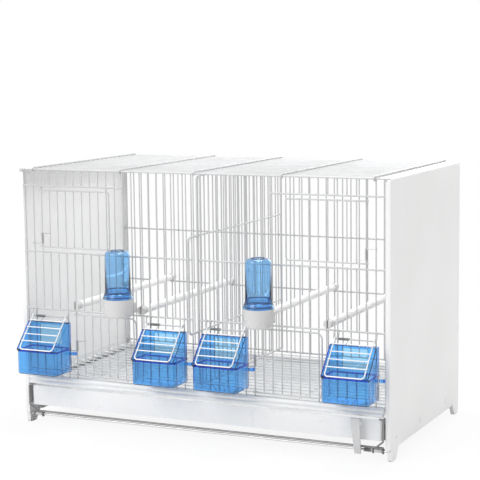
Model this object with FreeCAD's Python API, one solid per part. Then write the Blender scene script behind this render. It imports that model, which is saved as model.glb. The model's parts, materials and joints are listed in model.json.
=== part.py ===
"""Breeding cage for small birds: sheet side panels, welded wire grilles, sprung doors, feeders and drinkers.

X runs along the front, Y from the front to the back, Z up. The model is drawn with Y = 0 at the side
panels' front edge, and each node is saved with the origin on the floor, under the middle of the whole object.
Front bars are numbered from the left, from 0; places between them are shares of the bar pitch.
"""
import FreeCAD, Part
import math
import os

# Overall size, from the side panels' outer faces and from the floor to the top of the side panels
WIDTH = 600.0
DEPTH = 320.0
PANEL_TOP = 396.1
FIT_GAP = 0.3
OVERRUN = 5.0
STRAIGHT = 1e-9

# Side panels, folded from one sheet each
SHEET = 0.8
FRONT_FLANGE = 7.7
TOP_FLANGE = 20.0
FOLD_RADIUS = 2.4
HEM_RADIUS = 5.0
FOOT_HEIGHT = 15.0
FOOT_INSET = 3.0
FOOT_ROOT = 29.0
FOOT_TIP = 17.0
FOOT_TIP_INSET = 4.0
FOOT_RETURN = 6.0
FOOT_CORNER = 4.0
CORNER_NOTCH = 7.0
CORNER_NOTCH_DROP = 5.0
FLANGE_END_GAP = 3.0
RIVET_HOLE = 3.0
RIVET_HOLE_Y = 24.0
RIVET_HOLE_Z = 32.0
TAB_SLOT = 5.0
TAB_SLOT_HEIGHT = 8.0
TAB_SLOT_FRONT_Y = 126.0
TAB_SLOT_BACK_Y = 250.0

# Bars of the front and back, and the rods that cross them on the outside
BAR_COUNT = 42
BAR_INSET = 8.9
BAR_D = 2.0
ROD_D = 2.6
ROD_END_GAP = 2.0
BOTTOM_ROD_Z = 74.5
LOWER_ROD_Z = 181.4
MID_ROD_SHARE = 0.412
UPPER_ROD_DROP = 25.3
TOP_ROD_DROP = 0.7
SLOT_LEFT_BAR = 20
SLOT_LIP = 1.5

# Doors: the frame is one bent rod that ends in an eye round the hinge bar at top and bottom
DOOR_ROD_D = 2.3
DOOR_BAR_D = 1.8
EYE_WRAP_DEG = 240.0
UPPER_DOOR_CORNER = 4.0
LOWER_DOOR_CORNER = 9.0
DOOR_LAP_SHARE = 0.4
UPPER_DOOR_TOP_DROP = 6.8
UPPER_DOOR_BOTTOM_RISE = 7.9
LOWER_DOOR_TOP_DROP = 5.9
LOWER_DOOR_BOTTOM_RISE = 7.5
UPPER_DOOR_STEPS = 8
LOWER_DOOR_STEPS = 7
UPPER_LEFT_HINGE_BAR = 2
UPPER_RIGHT_HINGE_BAR = 39
LOWER_HINGE_BARS = (6, 27)
BORDER_STEPS = 12

# Torsion springs on the doors' hinge bars
DOOR_SPRING_WIRE = 1.0
DOOR_SPRING_TURNS = 8
DOOR_SPRING_LENGTH = 15.5
DOOR_SPRING_LEG = 16.5
LEG_GAP = 0.15
APART_SHARE = 0.6
UPPER_SPRING_RISE = 13.0
LOWER_SPRING_RISE = 45.0

# Feeders: centre bar of each, tub, hood and the side tabs that clip on the bars
FEEDER_BARS = (3, 17, 24, 38)
FEEDER_SIDES = ("left_end", "left_middle", "right_middle", "right_end")
FEEDER_HALF_STEPS = 2
TUB_WIDTH = 70.0
TUB_DEPTH = 44.6
TUB_HEIGHT = 37.5
TUB_WALL = 1.6
TUB_CORNER = 6.0
TUB_BOTTOM_ROUND = 3.0
RIM_DROP = 56.4
RIM_BAND = 5.5
RIM_PROUD = 0.9
FEEDER_BACK_GAP = 1.3
SILL_DROP = 1.8
WINDOW_WIDTH = 38.0
WINDOW_BOTTOM = 4.0
WINDOW_TOP = 6.0
HOOD_RISE = 39.0
TAB_HEIGHT = 4.4
TAB_THICK = 4.8
TAB_REACH_STEPS = 3
TAB_LIP = 1.4
TAB_OVERHANG = 0.5
TAB_TOP_DROP = 7.4

# Feeder flaps: a bent wire frame with cross wires, on a hinge rod under the lower front rod
FLAP_WIRE = 1.8
FLAP_CROSS_WIRE = 1.6
FLAP_HALF_WIDTH = 29.0
FLAP_LENGTH = 62.0
FLAP_CORNER = 5.0
FLAP_SLOPE_DEG = 47.7
FLAP_CROSS_SHARES = (0.17, 0.37, 0.57, 0.77)
FLAP_HOOD_GAP = 0.4
HINGE_ROD_D = 2.0
HINGE_ROD_DROP = 10.4
HINGE_ROD_FORWARD = 5.1
HINGE_ROD_HALF = 31.6
HINGE_ROD_BEND = 2.4
FLAP_SPRING_WIRE = 0.7
FLAP_SPRING_TURNS = 12
FLAP_SPRING_LENGTH = 15.6
FLAP_SPRING_START = 24.0
FLAP_SPRING_LEG_PAST = 3.0

# Drinkers: a closed tube that stands in a cup, whose spout passes between two bars
DRINKER_BARS = (12.5, 28.5)
DRINKER_SIDES = ("left", "right")
DRINKER_FORWARD = 30.0
CUP_R = 22.4
CUP_BOTTOM_R = 20.6
CUP_HEIGHT = 28.0
CUP_WALL = 1.6
CUP_ROUND = 5.0
SPOUT_WIDTH = 9.6
SPOUT_HEIGHT = 15.0
SPOUT_REACH = 13.0
SPOUT_WALL = 1.3
BARB_WIDTH = 3.6
BARB_THICK = 2.4
TUBE_R = 19.4
TUBE_TOP_R = 18.4
TUBE_WALL = 1.5
TUBE_HEIGHT = 71.0
TUBE_SHOULDER = 6.0
SKIRT_HEIGHT = 7.0
SKIRT_LIP = 2.0
NECK_R = 16.5
NECK_DEPTH = 18.0

# Perches, with a slotted cap at each end
PERCH_BARS = (6, 14, 27, 35)
PERCH_D = 11.5
SPIGOT_D = 8.3
CAP_D = 12.4
CAP_LENGTH = 12.0
CAP_SLOT = 2.8
CAP_SLOT_DEPTH = 6.2
CAP_SOCKET = 4.0

# Divider: a wire panel that slides in through the front, with a loop handle
DIVIDER_ROD_D = 3.6
DIVIDER_BAR_D = 2.0
DIVIDER_MID_ROD_D = 2.6
DIVIDER_FRONT_GAP = 5.0
DIVIDER_BACK_GAP = 6.0
DIVIDER_FLOOR_GAP = 11.0
DIVIDER_TOP_GAP = 3.8
DIVIDER_CORNER = 9.0
DIVIDER_BARS = 20
HANDLE_REACH = 23.0
HANDLE_CORNER = 7.0
HANDLE_LOW_Z = 163.0
HANDLE_HIGH_Z = 304.5
GUIDE_GAP = 0.5

# Roof: wires along X with cross rods on top, whose ends curl over the front and back top rods
ROOF_WIRE_D = 2.0
ROOF_WIRES = 22
ROOF_WIRE_END_GAP = 0.6
ROOF_FIRST_WIRE = 11.0
ROOF_ROD_SHARES = (1.1, 11.8, 20.4, 30.2, 39.9)
CURL_DEG = 200.0
SLOT_CURL_DEG = 90.0

# Floor grille with its ridged front bar, drawer under it, and the runners that carry both
FLOOR_WIRE_D = 2.0
FLOOR_WIRES = 17
FLOOR_WIRE_TOP = 71.5
FLOOR_SIDE_GAP = 1.8
FLOOR_BACK_GAP = 7.0
FLOOR_ROD_INSET = 2.5
FLOOR_INNER_RODS = 3
RIDGE_R = 3.4
RIDGE_STEP = 6.5
RIDGE_BACK_GAP = 0.5
RIDGE_TOP_Z = 76.7
RIDGE_END_GAP = 3.0
RUNNER_THICK = 1.0
RUNNER_LEG = 8.3
RUNNER_END_GAP = 11.0
DRAWER_BOTTOM = 30.0
DRAWER_HEIGHT = 30.0
DRAWER_SIDE_GAP = 5.9
DRAWER_SHEET = 1.0
DRAWER_FACE_Y = 0.2
DRAWER_BACK_GAP = 14.0
DRAWER_CORNER = 3.0
RUNNER_LEDGE = 4.0
STRIP_BOTTOM = 20.0
STRIP_TOP = 66.0

# Tie rods between the side panels' feet, and the bail that swings on the front one
TIE_ROD_D = 3.4
TIE_ROD_Z = 14.2
TIE_ROD_INSET = 6.6
BAIL_D = 3.0
BAIL_ARM_D = 2.6
BAIL_RING_D = 2.4
BAIL_OUTER_RING_INSET = 13.5
BAIL_INNER_RING_INSET = 28.0
BAIL_BAR_END_INSET = 12.0
BAIL_TILT_DEG = 60.0
BAIL_ARM_ROOT_INSET = 23.0
BAIL_ARM_INSET = 10.1
BAIL_ARM_GAP = 2.1
BAIL_ELBOW_Z = 30.0
BAIL_TOP_GAP = 0.4
BAIL_HOOK = 6.0
BAIL_BEND = 3.0
SLEEVE_WALL = 1.0
BAIL_SPRING_WIRE = 1.0
BAIL_SPRING_TURNS = 6
BAIL_SPRING_LENGTH = 10.0
BAIL_SPRING_GAP = 1.0
BAIL_SPRING_LEG = 9.0
BAIL_SPRING_LEG_RISE = 1.5

# Drawer latch: a tapered lever on a pin between two ears of the drawer's front
LATCH_INSET = 47.0
LATCH_TOP_WIDTH = 13.5
LATCH_FOOT_WIDTH = 9.0
LATCH_THICK = 3.0
LATCH_TOP_GAP = 0.5
LATCH_FOOT_Z = 10.5
LATCH_FOOT_GAP = 5.0
LATCH_PIN_DROP = 9.0
LATCH_PIN_D = 2.4
LATCH_PIN_PLAY = 0.06
LATCH_PIN_FORWARD = 8.6
LATCH_BOSS_R = 3.6
LATCH_BOSS_WIDTH = 7.0
EAR_THICK = 1.0
EAR_R = 3.0

# Places that follow from the sizes above
HALF = WIDTH / 2
INNER_X = HALF - SHEET
TOP_ROD_Z = PANEL_TOP - TOP_ROD_DROP
UPPER_ROD_Z = PANEL_TOP - UPPER_ROD_DROP
MID_ROD_Z = LOWER_ROD_Z + MID_ROD_SHARE * (TOP_ROD_Z - LOWER_ROD_Z)
PITCH = (WIDTH - 2 * BAR_INSET) / (BAR_COUNT - 1)
ROD_Y = SHEET + ROD_D / 2
BAR_Y = ROD_Y + ROD_D / 2 + BAR_D / 2
BACK_ROD_Y = DEPTH - ROD_Y
BACK_BAR_Y = DEPTH - BAR_Y
INSIDE_ROD_Y = BAR_Y + BAR_D / 2 + ROD_D / 2
ROD_END_X = HALF - ROD_END_GAP
FLANGE_X = HALF - FRONT_FLANGE
EYE_R = BAR_D / 2 + FIT_GAP + DOOR_ROD_D / 2
DOOR_Y = BAR_Y - EYE_R
DOOR_BAR_Y = DOOR_Y + DOOR_ROD_D / 2 + DOOR_BAR_D / 2
RIM_Z = LOWER_ROD_Z - RIM_DROP
TUB_BACK_Y = ROD_Y - ROD_D / 2 - FEEDER_BACK_GAP
TUB_FRONT_Y = TUB_BACK_Y - TUB_DEPTH
FLAP_AXIS_Y = ROD_Y - HINGE_ROD_FORWARD
FLAP_AXIS_Z = LOWER_ROD_Z - HINGE_ROD_DROP
FLAP_EYE_R = HINGE_ROD_D / 2 + FIT_GAP + FLAP_WIRE / 2
CUP_Z = LOWER_ROD_Z + ROD_D / 2 + FIT_GAP
DRINKER_Y = ROD_Y - DRINKER_FORWARD
ROOF_ROD_Z = TOP_ROD_Z + ROD_D
ROOF_WIRE_Z = ROOF_ROD_Z - ROD_D / 2 - ROOF_WIRE_D / 2
FLOOR_WIRE_Z = FLOOR_WIRE_TOP - FLOOR_WIRE_D / 2
FLOOR_ROD_Z = FLOOR_WIRE_Z - FLOOR_WIRE_D / 2 - ROD_D / 2
FLOOR_HALF = FLANGE_X - FLOOR_SIDE_GAP
RIDGE_Y = BAR_Y - BAR_D / 2 - RIDGE_BACK_GAP - RIDGE_R
RIDGE_BOTTOM = RIDGE_TOP_Z - RIDGE_STEP - 2 * RIDGE_R
DRAWER_TOP = DRAWER_BOTTOM + DRAWER_HEIGHT
BAIL_TOP_Z = DRAWER_TOP + BAIL_TOP_GAP + BAIL_ARM_D / 2
BAIL_ARM_Y = DRAWER_FACE_Y - BAIL_ARM_GAP - BAIL_ARM_D / 2
BAIL_RING_OUTER_X = HALF - BAIL_OUTER_RING_INSET
BAIL_RING_INNER_X = HALF - BAIL_INNER_RING_INSET
BAIL_BAR_END = HALF - BAIL_BAR_END_INSET
BAIL_ARM_ROOT_X = HALF - BAIL_ARM_ROOT_INSET
BAIL_ARM_X = HALF - BAIL_ARM_INSET
LATCH_X = HALF - LATCH_INSET
LATCH_TOP_Z = RIDGE_BOTTOM - LATCH_TOP_GAP
LATCH_PIN_Z = LATCH_TOP_Z - LATCH_PIN_DROP


def point(x, y, z):
    """A point or direction."""
    return FreeCAD.Vector(x, y, z)


def bar_x(number):
    """The place along X of a front bar, or of a share between two bars."""
    return (number - (BAR_COUNT - 1) / 2) * PITCH


def block(x0, x1, y0, y1, z0, z1):
    """A box between two corners."""
    return Part.makeBox(x1 - x0, y1 - y0, z1 - z0, point(x0, y0, z0))


def rod(start, end, diameter):
    """A straight round wire."""
    way = end - start
    return Part.makeCylinder(diameter / 2, way.Length, start, way)


def ring_of(centre, axis, radius, wire):
    """A closed ring of round wire."""
    return Part.makeTorus(radius, wire / 2, centre, axis)


def tangent_arc(start, direction, end):
    """The arc that leaves start along direction and reaches end."""
    chord = end - start
    along = FreeCAD.Vector(chord).normalize()
    side = direction - along * direction.dot(along)
    if side.Length < STRAIGHT:
        return Part.LineSegment(start, end).toShape()
    side.normalize()
    half_angle = math.acos(max(-1.0, min(1.0, direction.dot(along)))) / 2
    middle = (start + end) / 2 + side * (chord.Length / 2 * math.tan(half_angle))
    return Part.Arc(start, middle, end).toShape()


def biarc(start, leaving, end, arriving):
    """Two arcs that join start and end and keep the directions given there."""
    chord = end - start
    both = leaving + arriving
    spread = 2 * (1 - leaving.dot(arriving))
    projected = chord.dot(both)
    reach = (math.sqrt(projected * projected + spread * chord.dot(chord)) - projected) / spread
    joint = (start + end + (leaving - arriving) * reach) / 2
    return [tangent_arc(start, leaving, joint), tangent_arc(end, arriving * -1, joint)]


def bent_edges(points, radius):
    """Straight runs through the points, with an arc of one radius at each inner point."""
    edges = []
    start = points[0]
    for before, corner, after in zip(points, points[1:], points[2:]):
        into = (before - corner).normalize()
        out = (after - corner).normalize()
        cut = radius / math.tan(into.getAngle(out) / 2)
        first = corner + into * cut
        last = corner + out * cut
        edges.append(Part.LineSegment(start, first).toShape())
        edges.append(tangent_arc(first, into * -1, last))
        start = last
    edges.append(Part.LineSegment(start, points[-1]).toShape())
    return edges


def tube_along(edges, diameter):
    """A round wire swept along joined edges, which are given in order."""
    path = Part.Wire(edges)
    first = edges[0]
    start = first.valueAt(first.FirstParameter)
    way = first.tangentAt(first.FirstParameter)
    profile = Part.Wire(Part.Circle(start, way, diameter / 2).toShape())
    return path.makePipeShell([profile], True, False)


def bent_rod(points, radius, diameter):
    """A round wire bent to one radius at each inner point."""
    return tube_along(bent_edges(points, radius), diameter)


def revolved(profile, centre):
    """A solid turned from (radius, height) points about the vertical through centre."""
    corners = [centre + point(r, 0, z) for r, z in profile]
    face = Part.Face(Part.makePolygon(corners + corners[:1]))
    return face.revolve(centre, point(0, 0, 1), 360)


def extruded(outline, way):
    """A solid from a closed outline of points, pushed along way."""
    return Part.Face(Part.makePolygon(outline + outline[:1])).extrude(way)


def rounded(solid, radius, chosen):
    """The solid with the straight edges that chosen accepts rounded."""
    edges = [e for e in solid.Edges if e.Curve.TypeId == "Part::GeomLine" and chosen(e)]
    return solid.makeFillet(radius, edges)


def rounded_rim(solid, radius, chosen):
    """The solid with the circular edges that chosen accepts rounded."""
    return solid.makeFillet(radius, [e for e in solid.Edges if is_circle(e) and chosen(e)])


def is_vertical(edge):
    """Whether an edge runs along Z."""
    way = edge.tangentAt(edge.FirstParameter)
    return abs(way.z) > abs(way.x) + abs(way.y)


def is_level(edge):
    """Whether an edge runs along X."""
    way = edge.tangentAt(edge.FirstParameter)
    return abs(way.x) > abs(way.y) + abs(way.z)


def all_above(edge, z):
    """Whether both ends of an edge lie above z."""
    return all(v.Z > z for v in edge.Vertexes)


def all_below(edge, z):
    """Whether both ends of an edge lie below z."""
    return all(v.Z < z for v in edge.Vertexes)


def is_circle(edge):
    """Whether an edge is a circle or an arc."""
    return edge.Curve.TypeId == "Part::GeomCircle"


def least_gap(edges, wire, apart):
    """The least gap of a wire to itself, from points on its axis that lie more than apart along it."""
    places = []
    travelled = 0.0
    for edge in edges:
        found = edge.discretize(Number=9)
        for before, after in zip(found, found[1:]):
            travelled += (after - before).Length
            places.append((travelled, after))
    gaps = [(p - q).Length for i, (s, p) in enumerate(places) for t, q in places[i + 1:] if t - s > apart]
    return min(gaps) - wire


def torsion_spring(name, origin, ways, radius, wire, turns, length, legs):
    """A coil with two straight legs. ways are directions u, v and w: it runs along w, wound from u towards v.

    legs are the outer ends of the first and the last leg, as (u, v) places measured from the coil's axis.
    """
    u, v, w = ways
    leg_in, leg_out = legs

    def turned_to(place, inward):
        angle = math.atan2(place[1], place[0])
        lean = math.acos(radius / math.hypot(*place))
        return angle + (lean if inward else -lean)

    start = turned_to(leg_in, True)
    finish = turned_to(leg_out, False)
    while finish < start + (turns - 0.5) * 2 * math.pi:
        finish += 2 * math.pi
    count = 4 * turns
    rise = length / count
    flat = radius * (finish - start) / count

    def place(step):
        angle = start + (finish - start) * step / count
        at = origin + (u * math.cos(angle) + v * math.sin(angle)) * radius + w * (rise * step)
        climb = rise if 0 < step < count else 0.0
        way = (v * math.cos(angle) - u * math.sin(angle)) * flat + w * climb
        return at, way.normalize()

    first = place(0)[0]
    last = place(count)[0]
    edges = [Part.LineSegment(origin + u * leg_in[0] + v * leg_in[1], first).toShape()]
    for step in range(count):
        here, leaving = place(step)
        there, arriving = place(step + 1)
        edges += joined_in_order(biarc(here, leaving, there, arriving))
    end = origin + u * leg_out[0] + v * leg_out[1] + w * length
    edges.append(Part.LineSegment(last, end).toShape())
    print(name, "least gap", round(least_gap(edges, wire, 2 * math.pi * radius * APART_SHARE), 3))
    return tube_along(edges, wire)


def joined_in_order(pair):
    """A biarc's two arcs, the second turned round so that both run the same way."""
    first, second = pair
    ends = [second.valueAt(second.LastParameter), second.valueAt(second.FirstParameter)]
    middle = second.valueAt((second.FirstParameter + second.LastParameter) / 2)
    return [first, Part.Arc(ends[0], middle, ends[1]).toShape()]


def middle_shift():
    """The move that brings the middle of the whole object's depth to the origin."""
    front = slope(FLAP_LENGTH, FLAP_EYE_R)[0] - FLAP_WIRE / 2
    back = BACK_ROD_Y + ROD_D + ROD_D / 2
    return point(0, -(front + back) / 2, 0)


def save(node, solids):
    """Write one node's solids, moved so that the origin lies under the middle of the object."""
    shape = solids[0] if len(solids) == 1 else Part.makeCompound(solids)
    bad = [s for s in solids if not s.isValid() or s.Volume <= 0]
    if bad:
        print("not valid:", node, len(bad))
    shape.translate(middle_shift())
    shape.exportStep("parts/" + node + ".step")


def side_panel(side):
    """One side panel: a folded tray with flanges, feet, tab slots and a rivet hole. side is -1 or 1."""
    top = PANEL_TOP
    outer = block(HALF - TOP_FLANGE, HALF, 0, DEPTH, FOOT_HEIGHT, top)
    outer = folded(outer, HALF, HEM_RADIUS, FOLD_RADIUS)
    open_side = HALF - TOP_FLANGE - OVERRUN
    inner = block(open_side, INNER_X, SHEET, DEPTH - SHEET, FOOT_HEIGHT + SHEET, top - SHEET)
    inner = folded(inner, INNER_X, HEM_RADIUS - SHEET, FOLD_RADIUS - SHEET)
    shell = outer.cut(inner)
    notch_z = top - CORNER_NOTCH_DROP
    trims = []
    for y0, y1 in ((-OVERRUN, CORNER_NOTCH), (DEPTH - CORNER_NOTCH, DEPTH + OVERRUN)):
        trims.append(block(open_side, FLANGE_X, y0, y1, 0, top + OVERRUN))
        trims.append(block(open_side, INNER_X, y0, y1, notch_z, top + OVERRUN))
    foot_end = FOOT_INSET + FOOT_ROOT + FLANGE_END_GAP
    low = (0, FOOT_HEIGHT + HEM_RADIUS)
    trims.append(block(0, FLANGE_X, 0, DEPTH, *low))
    trims.append(block(0, INNER_X, SHEET, foot_end, *low))
    trims.append(block(0, INNER_X, DEPTH - foot_end, DEPTH - SHEET, *low))
    for middle in (TAB_SLOT_FRONT_Y, TAB_SLOT_BACK_Y):
        slot = (middle - TAB_SLOT / 2, middle + TAB_SLOT / 2, DRAWER_BOTTOM - RUNNER_THICK)
        trims.append(block(INNER_X - OVERRUN, HALF + OVERRUN, *slot, slot[2] + TAB_SLOT_HEIGHT))
    hole = point(INNER_X - OVERRUN, RIVET_HOLE_Y, RIVET_HOLE_Z)
    trims.append(Part.makeCylinder(RIVET_HOLE / 2, SHEET + 2 * OVERRUN, hole, point(1, 0, 0)))
    shell = shell.cut(trims)
    feet = [foot(0, 1), foot(DEPTH, -1)]
    panel = shell.fuse(feet).removeSplitter()
    if side < 0:
        panel = panel.mirror(point(0, 0, 0), point(1, 0, 0))
    return panel.Solids


def on_outer_face(edge, x):
    """Whether both ends of an edge lie on the plane at x."""
    return all(abs(v.X - x) < SHEET / 2 for v in edge.Vertexes)


def folded(box, x, hem_radius, radius):
    """A panel's box with its outer face's edges rounded: the lower edge more than the others."""
    middle = PANEL_TOP / 2
    box = rounded(box, hem_radius, lambda e: on_outer_face(e, x) and all_below(e, middle))
    return rounded(box, radius, lambda e: on_outer_face(e, x) and not all_below(e, middle))


def foot(edge_y, inward):
    """A foot folded from the panel's sheet: a tapered channel, closed at its tip."""
    root_z = FOOT_HEIGHT + HEM_RADIUS
    root, tip = FOOT_INSET + FOOT_ROOT, FOOT_TIP_INSET + FOOT_TIP
    places = [(FOOT_INSET, root_z), (FOOT_INSET, FOOT_HEIGHT), (FOOT_TIP_INSET, 0), (tip, 0),
              (root, FOOT_HEIGHT), (root, root_z)]
    outline = [point(HALF - FOOT_RETURN, edge_y + inward * y, z) for y, z in places]
    whole = extruded(outline, point(FOOT_RETURN, 0, 0))
    middle = FOOT_HEIGHT / 2
    whole = rounded(whole, FOOT_CORNER, lambda e: all(v.Z < middle for v in e.Vertexes) and is_level(e))
    slim = [(FOOT_INSET + SHEET, root_z + OVERRUN), (FOOT_INSET + SHEET, FOOT_HEIGHT),
            (FOOT_TIP_INSET + SHEET, SHEET), (tip - SHEET, SHEET), (root - SHEET, FOOT_HEIGHT),
            (root - SHEET, root_z + OVERRUN)]
    hollow = extruded([point(0, edge_y + inward * y, z) for y, z in slim], point(INNER_X, 0, 0))
    return whole.cut(hollow)


def front_bar_spans(number):
    """The Z spans of one front bar that are left between the openings for doors and feeders."""
    top = TOP_ROD_Z + ROD_D / 2
    bottom = BOTTOM_ROD_Z - ROD_D / 2
    lower = LOWER_ROD_Z - ROD_D / 2
    spans = [(bottom, top)]
    right_half = UPPER_RIGHT_HINGE_BAR - UPPER_DOOR_STEPS
    in_upper = (UPPER_LEFT_HINGE_BAR < number < UPPER_LEFT_HINGE_BAR + UPPER_DOOR_STEPS
                or right_half < number < UPPER_RIGHT_HINGE_BAR)
    if in_upper:
        spans = [(bottom, MID_ROD_Z + ROD_D / 2), (UPPER_ROD_Z - ROD_D / 2, top)]
    if any(hinge < number < hinge + LOWER_DOOR_STEPS for hinge in LOWER_HINGE_BARS):
        spans[0] = (lower, spans[0][1])
    if any(abs(number - centre) < FEEDER_HALF_STEPS for centre in FEEDER_BARS):
        spans = [(bottom, RIM_Z - SILL_DROP)] + [(lower, spans[0][1])] + spans[1:]
    return spans


def split_rod(z):
    """A front rod in two lengths, open at the slot that the divider passes through."""
    slot = -bar_x(SLOT_LEFT_BAR) - SLOT_LIP
    return [rod(point(s * slot, ROD_Y, z), point(s * ROD_END_X, ROD_Y, z), ROD_D) for s in (-1, 1)]


def front_grille():
    """The fixed front: bars, the rods across them, and a sill rod behind the bars at each feeder."""
    solids = []
    for number in range(BAR_COUNT):
        x = bar_x(number)
        spans = front_bar_spans(number)
        solids += [rod(point(x, BAR_Y, low), point(x, BAR_Y, high), BAR_D) for low, high in spans]
    solids.append(rod(point(-ROD_END_X, ROD_Y, TOP_ROD_Z), point(ROD_END_X, ROD_Y, TOP_ROD_Z), ROD_D))
    solids += split_rod(MID_ROD_Z) + split_rod(LOWER_ROD_Z)
    border = bar_x(BORDER_STEPS) + BAR_D / 2
    for side in (-1, 1):
        ends = point(side * ROD_END_X, ROD_Y, UPPER_ROD_Z), point(-side * border, ROD_Y, UPPER_ROD_Z)
        solids.append(rod(*ends, ROD_D))
    last = bar_x(BAR_COUNT - 1) + BAR_D / 2
    slot = -bar_x(SLOT_LEFT_BAR) - SLOT_LIP
    for side in (-1, 1):
        ends = [point(side * x, INSIDE_ROD_Y, BOTTOM_ROD_Z) for x in (slot, last)]
        solids.append(rod(*ends, ROD_D))
    for centre in FEEDER_BARS:
        half = FEEDER_HALF_STEPS * PITCH + BAR_D / 2
        z = RIM_Z - SILL_DROP - ROD_D / 2
        ends = [point(bar_x(centre) + side * half, INSIDE_ROD_Y, z) for side in (-1, 1)]
        solids.append(rod(*ends, ROD_D))
    return solids


def back_grille():
    """The fixed back: bars and the rods across them on the outside."""
    solids = []
    top = TOP_ROD_Z + ROD_D / 2
    for number in range(BAR_COUNT):
        x = bar_x(number)
        solids.append(rod(point(x, BACK_BAR_Y, BOTTOM_ROD_Z - ROD_D / 2), point(x, BACK_BAR_Y, top), BAR_D))
    for z in (TOP_ROD_Z, MID_ROD_Z, LOWER_ROD_Z, BOTTOM_ROD_Z):
        solids.append(rod(point(-ROD_END_X, BACK_ROD_Y, z), point(ROD_END_X, BACK_ROD_Y, z), ROD_D))
    return solids


def roof_grille():
    """The roof: wires along X under cross rods that curl over the front and back top rods."""
    solids = []
    end = HALF - TOP_FLANGE - ROOF_WIRE_END_GAP
    step = (DEPTH - 2 * ROOF_FIRST_WIRE) / (ROOF_WIRES - 1)
    for number in range(ROOF_WIRES):
        y = ROOF_FIRST_WIRE + number * step
        solids.append(rod(point(-end, y, ROOF_WIRE_Z), point(end, y, ROOF_WIRE_Z), ROOF_WIRE_D))
    for share in ROOF_ROD_SHARES:
        x = bar_x(share)
        solids.append(rod(point(x, ROD_Y, ROOF_ROD_Z), point(x, BACK_ROD_Y, ROOF_ROD_Z), ROD_D))
        over_slot = abs(x) < PITCH / 2
        front_wrap = SLOT_CURL_DEG if over_slot else CURL_DEG
        solids += [curl(x, ROD_Y, -1, front_wrap), curl(x, BACK_ROD_Y, 1, CURL_DEG)]
    return solids


def curl(x, y, outward, wrap):
    """A cross rod's curled end, from the top of a top rod round its outside, through wrap degrees."""
    def at(angle):
        turn = math.radians(angle)
        return point(x, y + outward * ROD_D * math.sin(turn), TOP_ROD_Z + ROD_D * math.cos(turn))

    half = wrap / 2
    arcs = [Part.Arc(at(a), at(a + half / 2), at(a + half)).toShape() for a in (0, half)]
    return tube_along(arcs, ROD_D)


def roof_guides():
    """Two rods under the roof wires, between which the divider's top edge slides."""
    apart = DIVIDER_ROD_D / 2 + DIVIDER_BAR_D + GUIDE_GAP + ROD_D / 2
    z = ROOF_WIRE_Z - ROOF_WIRE_D / 2 - ROD_D / 2
    front = INSIDE_ROD_Y + ROD_D / 2 + FIT_GAP
    return [rod(point(s * apart, front, z), point(s * apart, DEPTH - front, z), ROD_D) for s in (-1, 1)]


def back_lower_strip():
    """The low sheet strip across the back, behind the drawer."""
    y = DEPTH - SHEET
    half = INNER_X - FOLD_RADIUS
    return [block(-half, half, y - SHEET, y, STRIP_BOTTOM, STRIP_TOP)]


def eye_arcs(axis, radius, toward, z, into):
    """The arcs of a wire's eye in a level plane, from its cut end to the front of the eye.

    toward is the side that the door lies on. into says whether the eye comes before the straight run.
    """
    def at(angle):
        turn = math.radians(angle)
        x = axis.x - toward * radius * math.sin(turn)
        return point(x, axis.y - radius * math.cos(turn), z)

    half = EYE_WRAP_DEG / 2
    pairs = [(EYE_WRAP_DEG, half), (half, 0)] if into else [(0, half), (half, EYE_WRAP_DEG)]
    return [Part.Arc(at(a), at((a + b) / 2), at(b)).toShape() for a, b in pairs]


def door(hinge_bar, steps, toward, top, bottom, corner):
    """One door: a bent frame rod with two eyes round the hinge bar, and the bars inside the frame."""
    axis = point(bar_x(hinge_bar), BAR_Y, 0)
    free = axis.x + toward * (steps + DOOR_LAP_SHARE) * PITCH
    path = [point(axis.x, DOOR_Y, top), point(free, DOOR_Y, top), point(free, DOOR_Y, bottom),
            point(axis.x, DOOR_Y, bottom)]
    edges = eye_arcs(axis, EYE_R, toward, top, True) + bent_edges(path, corner)
    edges += eye_arcs(axis, EYE_R, toward, bottom, False)
    solids = [tube_along(edges, DOOR_ROD_D)]
    for step in range(1, steps):
        x = axis.x + toward * step * PITCH
        ends = [point(x, DOOR_BAR_Y, z) for z in (bottom - DOOR_ROD_D / 2, top + DOOR_ROD_D / 2)]
        solids.append(rod(*ends, DOOR_BAR_D))
    return solids


def upper_door(hinge_bar, toward):
    """An upper door, between the mid rod and the upper border rod."""
    top = UPPER_ROD_Z - UPPER_DOOR_TOP_DROP
    bottom = MID_ROD_Z + UPPER_DOOR_BOTTOM_RISE
    return door(hinge_bar, UPPER_DOOR_STEPS, toward, top, bottom, UPPER_DOOR_CORNER)


def lower_door(hinge_bar):
    """A lower door, between the lower rod and the bottom rod, hinged at its left."""
    top = LOWER_ROD_Z - LOWER_DOOR_TOP_DROP
    bottom = BOTTOM_ROD_Z + LOWER_DOOR_BOTTOM_RISE
    return door(hinge_bar, LOWER_DOOR_STEPS, 1, top, bottom, LOWER_DOOR_CORNER)


def door_spring(name, hinge_bar, start_z):
    """The torsion spring on a door's hinge bar, with a leg to the next bar on each side."""
    radius = BAR_D / 2 + FIT_GAP + DOOR_SPRING_WIRE / 2
    origin = point(bar_x(hinge_bar), BAR_Y, start_z)
    legs = [(side * DOOR_SPRING_LEG, -radius - LEG_GAP) for side in (-1, 1)]
    ways = point(1, 0, 0), point(0, 1, 0), point(0, 0, 1)
    size = radius, DOOR_SPRING_WIRE, DOOR_SPRING_TURNS, DOOR_SPRING_LENGTH
    return [torsion_spring(name, origin, ways, *size, legs)]


def slope(along, outward):
    """A (Y, Z) place on a flap, from its hinge: along the slope, and square to it towards the outside."""
    turn = math.radians(FLAP_SLOPE_DEG)
    y = FLAP_AXIS_Y - along * math.cos(turn) - outward * math.sin(turn)
    return y, FLAP_AXIS_Z - along * math.sin(turn) + outward * math.cos(turn)


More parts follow.
